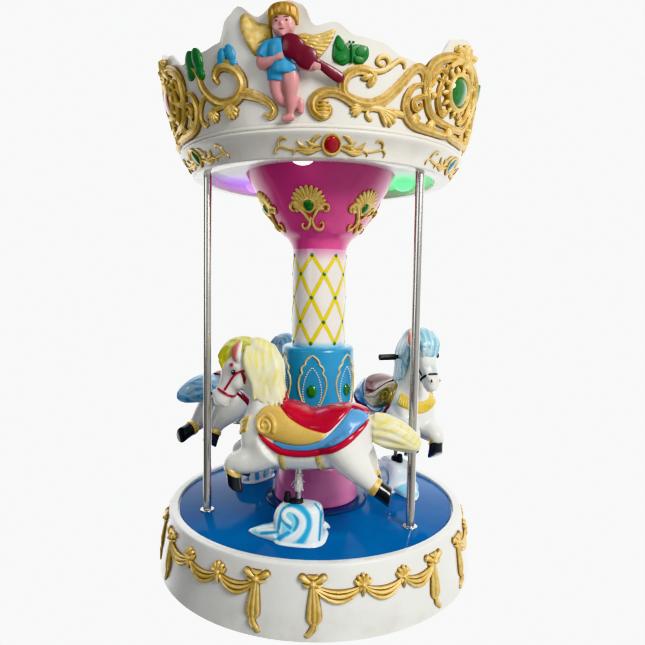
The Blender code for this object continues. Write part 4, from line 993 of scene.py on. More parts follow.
EDGE_LOW = ((0.146, 0.727), (0.122, 0.698), (0.084, 0.663), (0.046, 0.648), (-0.016, 0.643), (-0.078, 0.649), (-0.139, 0.666),
            (-0.199, 0.696), (-0.246, 0.730), (-0.280, 0.766), (-0.294, 0.790))
VOLUTE_AT, VOLUTE_R = (0.112, 0.764), 0.040
GIRTHS = ((0.050, 0.046), (-0.098, -0.112))      # x at the saddle and under the belly
GIRTH_HALF = 0.013


def trunk(rows, count=None, sides=28, square=2.25):
    """A form through rows of x, y, z, half depth and half width. The depth lies in the side view."""
    path = spline(rows, count or 4 * len(rows))
    places, depth, width = path[:, :3], np.maximum(path[:, 3:4], 0.001), np.maximum(path[:, 4:5], 0.001)
    along = unit(np.gradient(places, axis=0))
    rise = unit(np.cross(along, (0, 1, 0)))
    side = np.cross(rise, along)
    turns = np.arange(sides) * 2 * math.pi / sides
    c, s = (np.sign(f) * np.abs(f) ** (2 / square) for f in (np.cos(turns), np.sin(turns)))
    return loft(places[:, None] + side[:, None] * (width * c)[..., None] + rise[:, None] * (depth * s)[..., None])


def both(shapes):
    """Shapes with their mirror images across the middle plane."""
    flip = np.array((1, -1, 1))
    return list(shapes) + [shape.moved(lambda p: p * flip) for shape in shapes]


class Skin:
    """A sculpted form to lay straps, panels and bands on."""

    def __init__(self, mesh):
        self.tree = BVHTree.FromPolygons([v.co[:] for v in mesh.vertices], [p.vertices[:] for p in mesh.polygons])

    def touch(self, origin, direction):
        """Where a ray from outside meets the skin, and which way the skin faces there."""
        start = Vector(origin) + Vector(direction) * 0.6
        place, normal, _, _ = self.tree.ray_cast(start, -Vector(direction))
        if place is None:
            place, normal, _, _ = self.tree.find_nearest(Vector(origin) + Vector(direction) * 0.03)
        return np.array(place), unit(np.array(normal) + 0.4 * np.array(direction))

    def cover(self, origins, directions, lifts, sunk=0.004, closed=False):
        """A closed sheet laid on the skin, its rings given as rays, raised by the lifts."""
        rings = []
        for origin_row, direction_row, lift_row in zip(origins, directions, lifts):
            touched = [self.touch(o, d) for o, d in zip(origin_row, direction_row)]
            top = [p + n * lift for (p, n), lift in zip(touched, lift_row)]
            under = [p - n * sunk for p, n in reversed(touched)]
            rings.append(top + under)
        if closed:
            rings = np.array(rings)
            count, sides = rings.shape[:2]
            return Shape(rings.reshape(-1, 3), grid_faces(count, sides, True))
        return loft(rings)

    def ribbon(self, upper, lower, height, count=60, across=10, square=4.0, side=1, ends=0.0):
        """A panel between two edges seen from the side."""
        share = np.linspace(0, 1, across)
        profile = height * (1 - np.abs(2 * share - 1) ** square) ** 0.5
        edges = [spline([(x, 0, z) for x, z in edge], count) for edge in (upper, lower)]
        origins = edges[0][:, None] * (1 - share[:, None]) + edges[1][:, None] * share[:, None]
        directions = np.broadcast_to((0, side, 0), origins.shape)
        fade = np.ones(count)
        if ends:
            fade = np.clip(np.minimum(np.arange(count), np.arange(count)[::-1]) / (ends * count), 0, 1) ** 0.5
        return self.cover(origins, directions, fade[:, None] * profile)

    def belt(self, centres, tilt, half, height, across=7, steps=56, square=4.0):
        """A strap round the form; centres, tilt (the strap's facing) and half width."""
        facing = unit(np.array(tilt, float))
        first = unit(np.cross(facing, (0, 1, 0)))
        turns = np.arange(steps) * 2 * math.pi / steps
        share = np.linspace(-1, 1, across)
        around = np.cos(turns)[:, None] * first + np.sin(turns)[:, None] * np.array((0, 1, 0))
        origins = np.array(centres) + (share * half)[None, :, None] * facing
        origins = np.broadcast_to(origins, (steps, across, 3))
        directions = np.broadcast_to(around[:, None], origins.shape)
        profile = height * (1 - np.abs(share) ** square) ** 0.5
        return self.cover(origins, directions, np.broadcast_to(profile, (steps, across)), closed=True)


def hair_lock(rows, flat, sides=10):
    return bar(rows, sides, 26, (0, 1, 0.01), flat)


def mane_shapes():
    """Wavy locks from the crest down both sides of the neck."""
    shapes = [trunk(((0.070, 0, 0.850, 0.018, 0.030), (0.092, 0, 0.920, 0.024, 0.036), (0.112, 0, 0.990, 0.032, 0.042),
                     (0.146, 0, 1.044, 0.042, 0.048), (0.188, 0, 1.068, 0.040, 0.048), (0.214, 0, 1.070, 0.030, 0.036)))]
    for k in range(8):
        share = k / 7
        top = np.array((0.212 - 0.086 * share, 1.082 - 0.012 * share))
        mid = np.array((0.202 - 0.100 * share, 1.000 - 0.012 * share))
        low = np.array((0.184 - 0.100 * share, 0.915 - 0.010 * share))
        tip = np.array((0.170 - 0.104 * share, 0.834 + 0.014 * math.cos(5 * share)))
        sway = 0.007 * math.cos(2.3 * k)
        rows = []
        for (x, z), r, shift in ((top, 0.015, 0), (mid, 0.021, sway), (low, 0.020, -sway), (tip, 0.004, sway)):
            bulge = 0.044 if z > 1.02 else 0.052 + 0.18 * max(0.0, 0.93 - z)
            if z > 1.06:
                bulge = 0.030
            rows.append((x + shift, bulge - 0.010 * share, z, r))
        shapes += both([hair_lock(rows, 0.85)])
    return shapes


def forelock_shapes():
    """A full dome of hair from the poll to the forehead."""
    shapes = [trunk(((0.186, 0, 1.058, 0.034, 0.036), (0.230, 0, 1.066, 0.036, 0.044), (0.274, 0, 1.056, 0.040, 0.047),
                     (0.304, 0, 1.024, 0.038, 0.046), (0.320, 0, 0.990, 0.026, 0.038), (0.324, 0, 0.960, 0.010, 0.018)))]
    for y, lean in ((0.008, 0.0), (0.022, 0.006), (0.035, 0.016)):
        shapes += both([bar([(0.186, y, 1.088 - lean, 0.008), (0.240, y * 1.1, 1.096 - lean, 0.013), (0.296, y * 1.15, 1.080 - lean, 0.014),
                             (0.330, y * 1.1, 1.040 - lean, 0.013), (0.338 - lean, y, 0.998 - lean, 0.009),
                             (0.328 - lean, y * 0.8, 0.964 - lean, 0.003)], 10, 28)])
    return shapes


def tail_shapes():
    shapes = [trunk(TAIL)]
    for k in range(12):
        turn = 2 * math.pi * (k + 0.5) / 12
        c, s = math.cos(turn), math.sin(turn)
        rows = []
        for i, (x, _, z, depth, width) in enumerate(TAIL[1:]):
            twist = 0.16 * math.sin(1.7 * k + 1.3 * i)
            rows.append((x, (width - 0.002) * (c - twist * s), z + (depth - 0.002) * (s + twist * c), (0.013, 0.016, 0.014, 0.010, 0.003)[i]))
        shapes.append(bar(rows, 8, 30))
    return shapes


def streaks(points, cross, along):
    """Soft stripes for airbrushed hair, as a number for each point."""
    across = points @ np.array(cross)
    run = points @ np.array(along)
    wave = np.sin(across * 2 * math.pi / 0.030 + 1.4 * np.sin(run * 40)) + 0.6 * np.sin(across * 2 * math.pi / 0.013 + 2.1 + 2 * np.sin(run * 23))
    return np.clip(0.5 + 0.36 * wave, 0, 1)


def airbrush_and_shade(points):
    """How strongly the shading colour is laid on the horse's body: airbrushed grey on the eyes, nose, forehead, neck
    and rump, painted shade under the jaw, chest and belly, and faint grey low on the legs.
    """
    spots = (((0.276, 0.048, 0.962), 0.026, 1.0), ((0.330, 0, 0.905), 0.030, 0.75), ((0.250, 0, 0.880), 0.045, 0.45),
             ((0.240, 0, 1.010), 0.045, 0.55), ((0.090, 0.060, 0.870), 0.050, 0.35), ((-0.290, 0, 0.760), 0.055, 0.8),
             ((0.200, 0, 0.590), 0.060, 0.5), ((-0.230, 0, 0.610), 0.060, 0.5), ((-0.300, 0.070, 0.560), 0.040, 0.30),
             ((0.270, 0.068, 0.540), 0.040, 0.30))
    weight = np.zeros(len(points))
    for centre, radius, strength in spots:
        away = points - np.array(centre)
        away[:, 1] = np.abs(points[:, 1]) - centre[1]
        weight = np.maximum(weight, strength * np.exp(-(away ** 2).sum(1) / (2 * radius ** 2)))
    return weight


def set_mark(mesh, name, make):
    points = np.empty(len(mesh.vertices) * 3)
    mesh.vertices.foreach_get("co", points)
    layer = mesh.attributes.new(name, "FLOAT", "POINT")
    layer.data.foreach_set("value", make(points.reshape(-1, 3)).astype(np.float32))
    return mesh


def horse_meshes():
    """All parts of one horse, each a mesh in the horse's own frame."""
    forms = [trunk(TORSO, 60), trunk(SADDLE_FORM, 44), trunk(NECK, 40), trunk(HEAD, 40, square=2.4)]
    forms += [bar(rows, 20, 40, (0, 1, 0.01)) for rows in LEGS]
    forms += both([ball((0.262, 0.022, 0.930), (0.040, 0.028, 0.050)), ball((0.364, 0.015, 0.862), (0.016, 0.013, 0.018)),
                   bar([(0.290, 0.042, 0.982, 0.006), (0.270, 0.049, 0.986, 0.009), (0.250, 0.049, 0.976, 0.007)], 10),
                   ball((0.146, 0.064, 0.702), (0.072, 0.050, 0.090)), ball((-0.215, 0.060, 0.700), (0.078, 0.060, 0.090)),
                   bar([(0.318, 0.030, 0.930, 0.006), (0.345, 0.030, 0.890, 0.006), (0.362, 0.022, 0.862, 0.008)], 8)])
    forms += [ball((0.346, 0, 0.822), (0.024, 0.026, 0.014)), ball((0.322, 0, 0.812), (0.020, 0.020, 0.013)),
              ball((0.208, 0, 0.900), (0.040, 0.032, 0.056))]
    body = sculpt("horse_body", forms, 0.0074, 5)
    set_mark(body, "airbrush_and_shade", airbrush_and_shade)
    skin = Skin(body)
    meshes = {"body": body}

    mane = sculpt("horse_mane", mane_shapes(), 0.0058, 2)
    meshes["mane"] = set_mark(mane, "streak", lambda p: streaks(p, (0.96, 0.5, 0.20), (0, 0, 1)))
    forelock = sculpt("horse_forelock", forelock_shapes(), 0.0045, 2)
    meshes["forelock"] = set_mark(forelock, "streak", lambda p: streaks(p, (0.25, 1.0, 0), (0.5, 0, 1)))
    tail = sculpt("horse_tail", tail_shapes(), 0.0052, 2)
    meshes["tail"] = set_mark(tail, "streak", lambda p: streaks(p, (0.3, 0.7, 1.0), (1, 0, 0)))

    ears, inners = [], []
    for rows, out, bag in ((EAR_ROWS, 0.0, ears), ([(x + 0.006, y + 0.0075, z + 0.003, r * 0.62) for x, y, z, r in EAR_ROWS], 1, inners)):
        bag.append(bar(rows, 14, 24, (0.55, 1, 0), 0.42 if bag is ears else 0.30))
    meshes["ears"] = build_mesh("horse_ears", merge(both(ears)))
    meshes["ear_linings"] = build_mesh("horse_ear_linings", merge(both(inners)))

    eyes, rims, glints, nostrils = [], [], [], []
    for side in (-1, 1):
        place, normal = skin.touch((EYE_AT[0], 0, EYE_AT[1]), (0, side, 0))
        middle = place - normal * 0.005
        eyes.append(ball(middle, (EYE_R, EYE_R * 0.8, EYE_R * 0.95), 20, 14))
        glints.append(ball(middle + normal * EYE_R * 0.72 + np.array((0.003, 0, 0.004)), 0.0022, 10, 8))
        turns = np.linspace(0, 2 * math.pi, 25)
        rims.append(bar([tuple(place + np.array((0.017 * math.cos(a), normal[1] * 0.0005 - 0.004 * side * math.cos(a), 0.0125 * math.sin(a)))) + (0.0022,)
                         for a in turns], 8, 60))
        place, normal = skin.touch((0.366, 0, 0.858), unit((0.35, side, 0.2)))
        nostrils.append(ball(place, (0.0050, 0.0035, 0.0075), 12, 8))
    meshes["eyes"] = build_mesh("horse_eyes", merge(eyes))
    meshes["eye_rims"] = build_mesh("horse_eye_rims", merge(rims))
    meshes["eye_glints"] = build_mesh("horse_eye_glints", merge(glints))
    meshes["nostrils"] = build_mesh("horse_nostrils", merge(nostrils))

    across = 11
    seat_top, seat_low = (spline([(x, 0, z) for x, z in edge], 60) for edge in (SEAT_TOP, SEAT_LOW))
    origins, directions, lifts = [], [], []
    for top, low in zip(seat_top, seat_low):
        x = (top[0] + low[0]) / 2
        place, _ = skin.touch((x, 0, min(low[2], top[2] - 0.002)), (0, 1, 0))
        reach = math.atan2(abs(place[1]) + 0.002, place[2] - 0.70)
        turns = np.linspace(reach, -reach, 2 * across)
        origins.append([(x, 0, 0.70)] * len(turns))
        directions.append([(0, math.sin(a), math.cos(a)) for a in turns])
        share = turns / reach
        lifts.append(0.011 * (1 - np.abs(share) ** 8) ** 0.5)
    meshes["seat"] = build_mesh("horse_seat", skin.cover(origins, directions, lifts))

    def two_sided(name, make):
        meshes[name] = build_mesh("horse_" + name, merge([make(side) for side in (1, -1)]))

    two_sided("skirt", lambda side: skin.ribbon(SKIRT_UP, SKIRT_LOW, 0.0055, side=side, ends=0.03))
    two_sided("edging", lambda side: skin.ribbon(EDGE_UP, EDGE_LOW, 0.0095, side=side, square=2.4, ends=0.05))
    two_sided("panel", lambda side: skin.ribbon(PANEL_TOP, PANEL_LOW, 0.0120, across=14, side=side, ends=0.06))

    def volute(side):
        """A spiral rising from the front of the gold panel."""
        rings = []
        for share in np.linspace(0, 1, 90):
            turn = math.radians(-150 - 640 * share)
            reach = VOLUTE_R * (1 - 0.80 * share)
            half = 0.011 - 0.005 * share
            ring = []
            for across_share in np.linspace(-1, 1, 7):
                r = reach + half * across_share
                ring.append((VOLUTE_AT[0] + r * math.cos(turn), 0, VOLUTE_AT[1] + r * math.sin(turn)))
            rings.append(ring)
        lift = 0.011 + 0.0095 * (1 - np.linspace(-1, 1, 7) ** 2) ** 0.5
        return skin.cover(rings, np.broadcast_to((0, side, 0), (90, 7, 3)), np.broadcast_to(lift, (90, 7)))
    two_sided("volute", volute)

    girths = []
    for top_x, low_x in GIRTHS:
        turns = np.radians(np.linspace(98, 262, 44))
        share = np.linspace(-1, 1, 6)
        origins, directions = [], []
        for turn in turns:
            x = low_x + (top_x - low_x) * abs(math.sin(turn)) ** 3
            origins.append([(x + GIRTH_HALF * s, 0, 0.690) for s in share])
            directions.append([(0, math.sin(turn), math.cos(turn))] * 6)
        girths.append(skin.cover(origins, directions, np.broadcast_to(0.0045 * (1 - share ** 4) ** 0.5, (44, 6))))
    meshes["girths"] = build_mesh("horse_girths", merge(girths))

    def collar(low, high, lift, reach=64):
        turns = np.radians(np.linspace(-reach, reach, 56))
        share = np.linspace(0, 1, 8)
        origins, directions = [], []
        for turn in turns:
            z = 0.770 - 0.052 * math.cos(turn) ** 2
            origins.append([(0.150, 0, z + low + (high - low) * s) for s in share])
            directions.append([(math.cos(turn), math.sin(turn), 0)] * 8)
        return skin.cover(origins, directions, np.broadcast_to(lift * (1 - (2 * share - 1) ** 4) ** 0.5, (56, 8)))
    meshes["collar"] = build_mesh("horse_collar", collar(-0.030, 0.030, 0.0050))
    meshes["collar_trim"] = build_mesh("horse_collar_trim", merge([collar(-0.032, -0.010, 0.0085, 65), collar(0.012, 0.033, 0.0085, 65)]))
    fringe = []
    for turn in np.radians(np.linspace(-62, 62, 23)):
        z = 0.770 - 0.052 * math.cos(turn) ** 2
        touched = [skin.touch((0.150, 0, z + dz), (math.cos(turn), math.sin(turn), 0)) for dz in (-0.020, -0.004, 0.014)]
        fringe.append(bar([(*(p + n * 0.0050), r) for (p, n), r in zip(touched, (0.0052, 0.0046, 0.0020))], 8, 10))
    meshes["collar_fringe"] = build_mesh("horse_collar_fringe", merge(fringe))

    face = Skin(sculpt("face", [trunk(HEAD, 40, square=2.4)] + both([ball((0.262, 0.022, 0.930), (0.040, 0.028, 0.050))]), 0.006, 6))
    straps = [face.belt((0.318, 0, 0.872), (0.48, 0, -0.88), 0.0060, 0.0042)]
    for side in (-1, 1):
        for route in (((0.312, 0.882), (0.290, 0.915), (0.266, 0.948), (0.240, 0.964), (0.216, 0.966)),
                      ((0.236, 0.962), (0.228, 0.930), (0.226, 0.895), (0.236, 0.868))):
            way = spline([(x, 0, z) for x, z in route], 30)
            run = unit(np.gradient(way, axis=0))
            wide = np.stack([-run[:, 2], run[:, 1], run[:, 0]], -1)
            share = np.linspace(-1, 1, 6)
            origins = way[:, None] + wide[:, None] * (0.0052 * share)[None, :, None]
            straps.append(face.cover(origins, np.broadcast_to((0, side, 0), origins.shape),
                                     np.broadcast_to(0.0038 * (1 - share ** 4) ** 0.5, origins.shape[:2])))
    meshes["bridle"] = build_mesh("horse_bridle", merge(straps))
    rosettes = []
    for side in (-1, 1):
        place, normal = skin.touch((0.276, 0, 0.992), (0, side, 0))
        for k in range(6):
            a = k * math.pi / 3
            rosettes.append(ball(place + np.array((0.005 * math.cos(a), 0, 0.005 * math.sin(a))), (0.0040, 0.0040, 0.0040), 10, 6))
        rosettes.append(ball(place + normal * 0.002, 0.0042, 10, 6))
    meshes["rosettes"] = build_mesh("horse_rosettes", merge(rosettes))

    def sheared(route, rows, steps=26, count=22):
        """Rings about a hoof, each tilted like the band at the top and the sole below."""
        centre, sole, band_facing, sole_facing = (np.array(part, float) for part in route)
        turns = np.arange(steps) * 2 * math.pi / steps
        rings = []
        for share, _, _, radius in spline([(s, 0, 0, r) for s, r in rows], count):
            facing = unit(band_facing + (sole_facing - band_facing) * np.clip(share, 0, 1))
            front = np.cross((0, 1, 0), facing)
            middle = centre + (sole - centre) * share
            rings.append(middle + radius * (np.cos(turns)[:, None] * front + np.sin(turns)[:, None] * np.array((0, 1, 0))))
        return loft(rings)
    hooves = [sheared(route, HOOF_ROWS) for route in HOOVES]
    bands = [sheared(route, BAND_ROWS) for route in HOOVES]
    meshes["hooves"] = build_mesh("horse_hooves", merge(hooves))
    meshes["hoof_bands"] = build_mesh("horse_hoof_bands", merge(bands))
    return meshes


def build_horses(paints):
    """Three horses, each with its own colours and its own lift."""
    meshes = horse_meshes()
    for i in range(3):
        turn = HORSE_DEG + THIRD * i
        pivot = Matrix.Translation(ROCK_PIVOT)
        rock = pivot @ Matrix.Rotation(-math.radians(ROCK_DEG[i]), 4, "Y") @ pivot.inverted()
        place = Matrix.Translation(polar(turn, HORSE_R)) @ Matrix.Rotation(math.radians(turn - 90), 4, "Z") @ rock
        skipped = ("eye_rims", "collar_fringe") if i == 0 else ("rosettes", "eye_glints", "collar_trim")
        for name, source in meshes.items():
            if name in skipped:
                continue
            mesh = source.copy()
            mesh.transform(place)
            hidden = [f"horse_{i + 1}"] if name == "body" else []
            piece(f"horse_{name}_{i + 1}", mesh, paints[name][i], f"horse_lift_{i + 1}", hidden, 60)


# Swags on the skirt: x and z of a group, drawn flat at the foot of the rim
SWAG_TURN_R, SWAG_FIRST_DEG = 0.720, -69.0
KNOTS = ((-0.270, 0.214), (-0.078, 0.205), (0.096, 0.205), (0.266, 0.214))
SWAG_FLUTES = ((0.026, 0.0065), (0.043, 0.0100), (0.062, 0.0095))   # sag, half width
TASSEL_FOLDS = (-0.017, 0.0, 0.017)


def swag(left, right):
    """Gathered cloth hanging between two knots."""
    shapes = []
    for sag, half in SWAG_FLUTES:
        rows = []
        for share in np.linspace(0, 1, 9):
            hang = math.sin(math.pi * share)
            drop = sag * (0.10 + 0.90 * hang ** 0.8)
            rows.append((left[0] + (right[0] - left[0]) * share, left[1] + (right[1] - left[1]) * share - drop,
                         half * (0.35 + 0.65 * hang)))
        shapes.append(stroke(rows, 0.011 + 0.4 * half, count=26))
    return shapes


def bow(x, z):
    """A fan of folds over a knot, with a leaf hanging under it."""
    shapes = fan((x, z - 0.006), 90, 118, 0.044, 5, 0.0092, 0.017)
    for side in (-1, 1):
        shapes.append(stroke([(x + 0.006 * side, z, 0.006), (x + 0.022 * side, z + 0.004, 0.010), (x + 0.032 * side, z + 0.016, 0.006)], 0.018))
        shapes.append(stroke([(x + 0.004 * side, z - 0.006, 0.004), (x + 0.013 * side, z - 0.018, 0.007), (x + 0.016 * side, z - 0.032, 0.003)], 0.016))
    shapes.append(stroke([(x, z + 0.002, 0.006), (x, z - 0.020, 0.010), (x, z - 0.036, 0.007), (x, z - 0.048, 0.002)], 0.019))
    shapes.append(ball((x, 0.008, z - 0.002), (0.011, 0.014, 0.010), 14, 10))
    return shapes


def tassel(x, z, lean):
    """Cloth bunched at a rosette, hanging to a curled tuft."""
    shapes = []
    for side in (-1, 1):
        shapes.append(stroke([(x + 0.004 * side, z + 0.002, 0.008), (x + 0.024 * side, z + 0.012, 0.013),
                              (x + 0.042 * side, z + 0.022, 0.014), (x + 0.052 * side, z + 0.014, 0.006)], 0.020))
        shapes.append(stroke([(x + 0.004 * side, z - 0.004, 0.006), (x + 0.022 * side, z - 0.008, 0.009),
                              (x + 0.038 * side, z - 0.002, 0.004)], 0.017))
    shapes.append(stroke([(x - 0.020, z + 0.028, 0.005), (x, z + 0.022, 0.010), (x + 0.020, z + 0.028, 0.005)], 0.018))
    shapes.append(ball((x, 0.010, z + 0.002), (0.014, 0.016, 0.012), 16, 10))
    for fold in TASSEL_FOLDS:
        shapes.append(stroke([(x + 0.3 * fold, z - 0.006, 0.0060), (x + 0.7 * fold + 0.004 * lean, z - 0.050, 0.0100),
                              (x + fold + 0.006 * lean, z - 0.105, 0.0130), (x + fold + 0.006 * lean, z - 0.128, 0.0125),
                              (x + 0.4 * fold + 0.006 * lean, z - 0.146, 0.0075)], 0.018 - 0.2 * abs(fold), count=24))
    low = z - 0.142
    shapes.append(stroke([(x + 0.006 * lean, low, 0.012), (x + 0.004 * lean, low - 0.016, 0.014), (x - 0.006 * lean, low - 0.032, 0.013),
                          (x - 0.018 * lean, low - 0.044, 0.011), (x - 0.026 * lean, low - 0.040, 0.005)], 0.018))
    shapes.append(stroke([(x + 0.014 * lean, low - 0.002, 0.005), (x + 0.012 * lean, low - 0.020, 0.006), (x + 0.002 * lean, low - 0.036, 0.004)], 0.021))
    return shapes


def build_garlands(gold):
    shapes = []
    for left, right in zip(KNOTS, KNOTS[1:]):
        shapes += swag(left, right)
    for x, z in KNOTS[1:3]:
        shapes += bow(x, z)
    shapes += tassel(*KNOTS[0], 1) + tassel(*KNOTS[3], -1)
    around = wrap(skirt_radius, SWAG_TURN_R, SWAG_FIRST_DEG)

    def bend(p):
        low = np.clip(0.5 + (p[:, 2] - 0.03) / 0.18, 0.5, 1.0)      # flatter towards the foot
        return around(np.stack([p[:, 0], p[:, 1] * low, p[:, 2]], -1))
    mesh = build_mesh("garland_relief", merge([s.moved(bend) for s in shapes]))
    for i in range(6):
        piece(f"garland_relief_{i + 1}", mesh, gold, "base", [f"garland_{i + 1}"], turn_deg=SIXTH * i)


# Ornaments of the column
LATTICE_COUNT, LATTICE_DEG = 7, -105.5
LATTICE_ROWS = (1.049, 1.150, 1.264, 1.374, 1.461)
# across, height and ridge value; the low ridge values on the flanks are painted dark olive as shade
LATTICE_SECTION = ((-1, 0, 0), (-0.85, 0.8, 0.4), (-0.5, 1, 1), (0, 1, 1), (0.5, 1, 1), (0.85, 0.8, 0.4), (1, 0, 0))
DRUM_FRAME_DEG, DRUM_FRAME_Z = -98.5, 0.831
DRUM_FRAME = ((0.0, 0.998), (0.020, 0.984), (0.032, 0.968), (0.034, 0.955), (0.049, 0.942), (0.053, 0.928), (0.049, 0.914),
              (0.062, 0.893), (0.067, 0.862), (0.062, 0.828), (0.050, 0.793), (0.030, 0.752), (0.010, 0.727), (0.0, 0.722))
DRUM_BEADS = ((0.004, 0.938), (0.024, 0.910), (0.037, 0.874), (0.043, 0.844), (0.043, 0.813), (0.038, 0.788), (0.026, 0.760),
              (0.010, 0.739), (0.0, 0.735))
SHELL_DEG, SHELL_TURN_R = -99.5, 0.262
SHELL_STROKES = (
    ((-0.078, 1.648, 0.004), (-0.092, 1.655, 0.007), (-0.090, 1.672, 0.008), (-0.070, 1.678, 0.008), (-0.048, 1.656, 0.009),
     (-0.026, 1.630, 0.009), (-0.010, 1.604, 0.008), (-0.006, 1.590, 0.004)),
    ((0.060, 1.646, 0.004), (0.076, 1.650, 0.007), (0.078, 1.668, 0.008), (0.058, 1.674, 0.008), (0.034, 1.656, 0.009),
     (0.016, 1.630, 0.008), (0.002, 1.606, 0.006)),
    ((-0.004, 1.624, 0.006), (-0.012, 1.596, 0.008), (-0.030, 1.578, 0.008), (-0.052, 1.578, 0.007), (-0.056, 1.592, 0.006),
     (-0.044, 1.598, 0.004)),
    ((0.000, 1.620, 0.006), (0.008, 1.592, 0.008), (0.026, 1.572, 0.009), (0.052, 1.574, 0.008), (0.062, 1.590, 0.007),
     (0.052, 1.602, 0.006), (0.040, 1.594, 0.004)))


def funnel_radius(z):
    marks = np.array(FUNNEL)
    return np.interp(z, marks[:, 1], marks[:, 0])


def build_column_ornament(yellow, green, gold, gems, cream, pearl):
    """Lattice on the shaft, framed stones on the drum and shells on the funnel."""
    strips, dots = [], []
    half_turn = 180 / LATTICE_COUNT
    for row in range(len(LATTICE_ROWS)):
        for k in range(LATTICE_COUNT):
            start = LATTICE_DEG + half_turn * (2 * k + row % 2)
            dots.append(ball((0, 0.0015, LATTICE_ROWS[row]), (0.0088, 0.0022, 0.0100), 14, 8).moved(wrap(lambda z: SHAFT_R, SHAFT_R, start)))
            if row + 1 < len(LATTICE_ROWS):
                for side in (-1, 1):
                    reach = SHAFT_R * math.radians(half_turn) * side
                    line = stroke([(0, LATTICE_ROWS[row], 0.0098), (reach / 2, (LATTICE_ROWS[row] + LATTICE_ROWS[row + 1]) / 2, 0.0098),
                                   (reach, LATTICE_ROWS[row + 1], 0.0098)], 0.0012 + 0.0004 * side, LATTICE_SECTION, 12)
                    strips.append(line.moved(wrap(lambda z: SHAFT_R, SHAFT_R, start)))
    piece("shaft_lattice", strips, yellow, "turntable")
    piece("shaft_dots", dots, green, "turntable")

    def on_drum(shapes):
        return [s.moved(wrap(lambda z: DRUM_R, DRUM_R, DRUM_FRAME_DEG)) for s in shapes]
    loop = list(DRUM_FRAME) + [(-x, z) for x, z in DRUM_FRAME[-2:0:-1]] + [DRUM_FRAME[0]]
    frames = on_drum([stroke([(x, z, 0.0044) for x, z in loop], 0.0060, count=150)])
    beads = []
    for side in (-1, 1):
        for p in spline([(side * x, 0, z) for x, z in DRUM_BEADS], 20):
            beads.append(ball((p[0], 0.001, p[2]), (0.0034, 0.0032, 0.0040), 8, 6))
    stone = on_drum([ball((0, 0.002, DRUM_FRAME_Z), (0.0225, 0.010, 0.0300), 24, 14)])
    beads = on_drum(beads)
    shells = fan((-0.008, 1.662), 92, 196, 0.088, 15, 0.0098, 0.0105)
    shells += [stroke([(x, z, w) for x, z, w in rows], 0.017) for rows in SHELL_STROKES]
    shells.append(plate([(-0.008 + 0.066 * math.cos(a), 1.664 + 0.062 * math.sin(a)) for a in np.radians(np.arange(-10, 191, 20))], 0.006))
    shells.append(ring_stroke((-0.008, 1.668), (0.026, 0.025), 0.006, 0.014))
    on_funnel = wrap(funnel_radius, SHELL_TURN_R, SHELL_DEG)
    jewel = ball((-0.008, 0.008, 1.668), (0.0225, 0.013, 0.0215), 20, 12).moved(on_funnel)
    meshes = [build_mesh(name, merge(shapes)) for name, shapes in
              (("drum_frame", frames), ("drum_beads", beads), ("drum_stone", stone),
               ("funnel_shell_relief", [s.moved(on_funnel) for s in shells]), ("funnel_jewel", [jewel]))]
    finishes = (cream, pearl, gems, gold, gems)
    slots = ("drum_blue", "drum_blue", "drum_blue", "gold", "gold")
    for i in range(6):
        for mesh, finish, slot in zip(meshes, finishes, slots):
            piece(f"{mesh.name.split('.')[0]}_{i + 1}", mesh, finish, "turntable", turn_deg=SIXTH * i)


# Waves, each in its horse's frame
WAVE_TOP, GLAND_TOP = 0.412, 0.428
WAVE_LEVELS = (      # height, centre x, half x, half y, centre y
    (0.262, -0.012, 0.112, 0.104, 0.002), (0.272, -0.012, 0.112, 0.104, 0.002), (0.277, -0.010, 0.106, 0.099, 0.002),
    (0.300, -0.008, 0.103, 0.094, 0.003), (0.330, -0.006, 0.104, 0.083, 0.004), (0.358, -0.004, 0.104, 0.074, 0.004),
    (0.382, -0.006, 0.098, 0.067, 0.004), (0.398, -0.012, 0.088, 0.061, 0.004), (0.407, -0.015, 0.074, 0.054, 0.004),
    (0.4115, -0.016, 0.058, 0.042, 0.004), (0.4122, -0.016, 0.030, 0.022, 0.004))
WAVE_TAIL = (        # x, y, z, half depth, half width
    (0.060, 0.020, 0.290, 0.040, 0.072), (0.098, 0.012, 0.284, 0.034, 0.066), (0.130, 0.008, 0.279, 0.027, 0.056),
    (0.165, 0.004, 0.275, 0.020, 0.043), (0.196, 0.001, 0.272, 0.010, 0.025), (0.216, 0, 0.270, 0.004, 0.008))
WAVE_FIN = ((-0.090, -0.050, 0.310, 0.014), (-0.112, -0.054, 0.298, 0.012), (-0.130, -0.056, 0.286, 0.005))
SEEN_SLOPE = 0.42          # the stripes lie as they are seen from the front and above
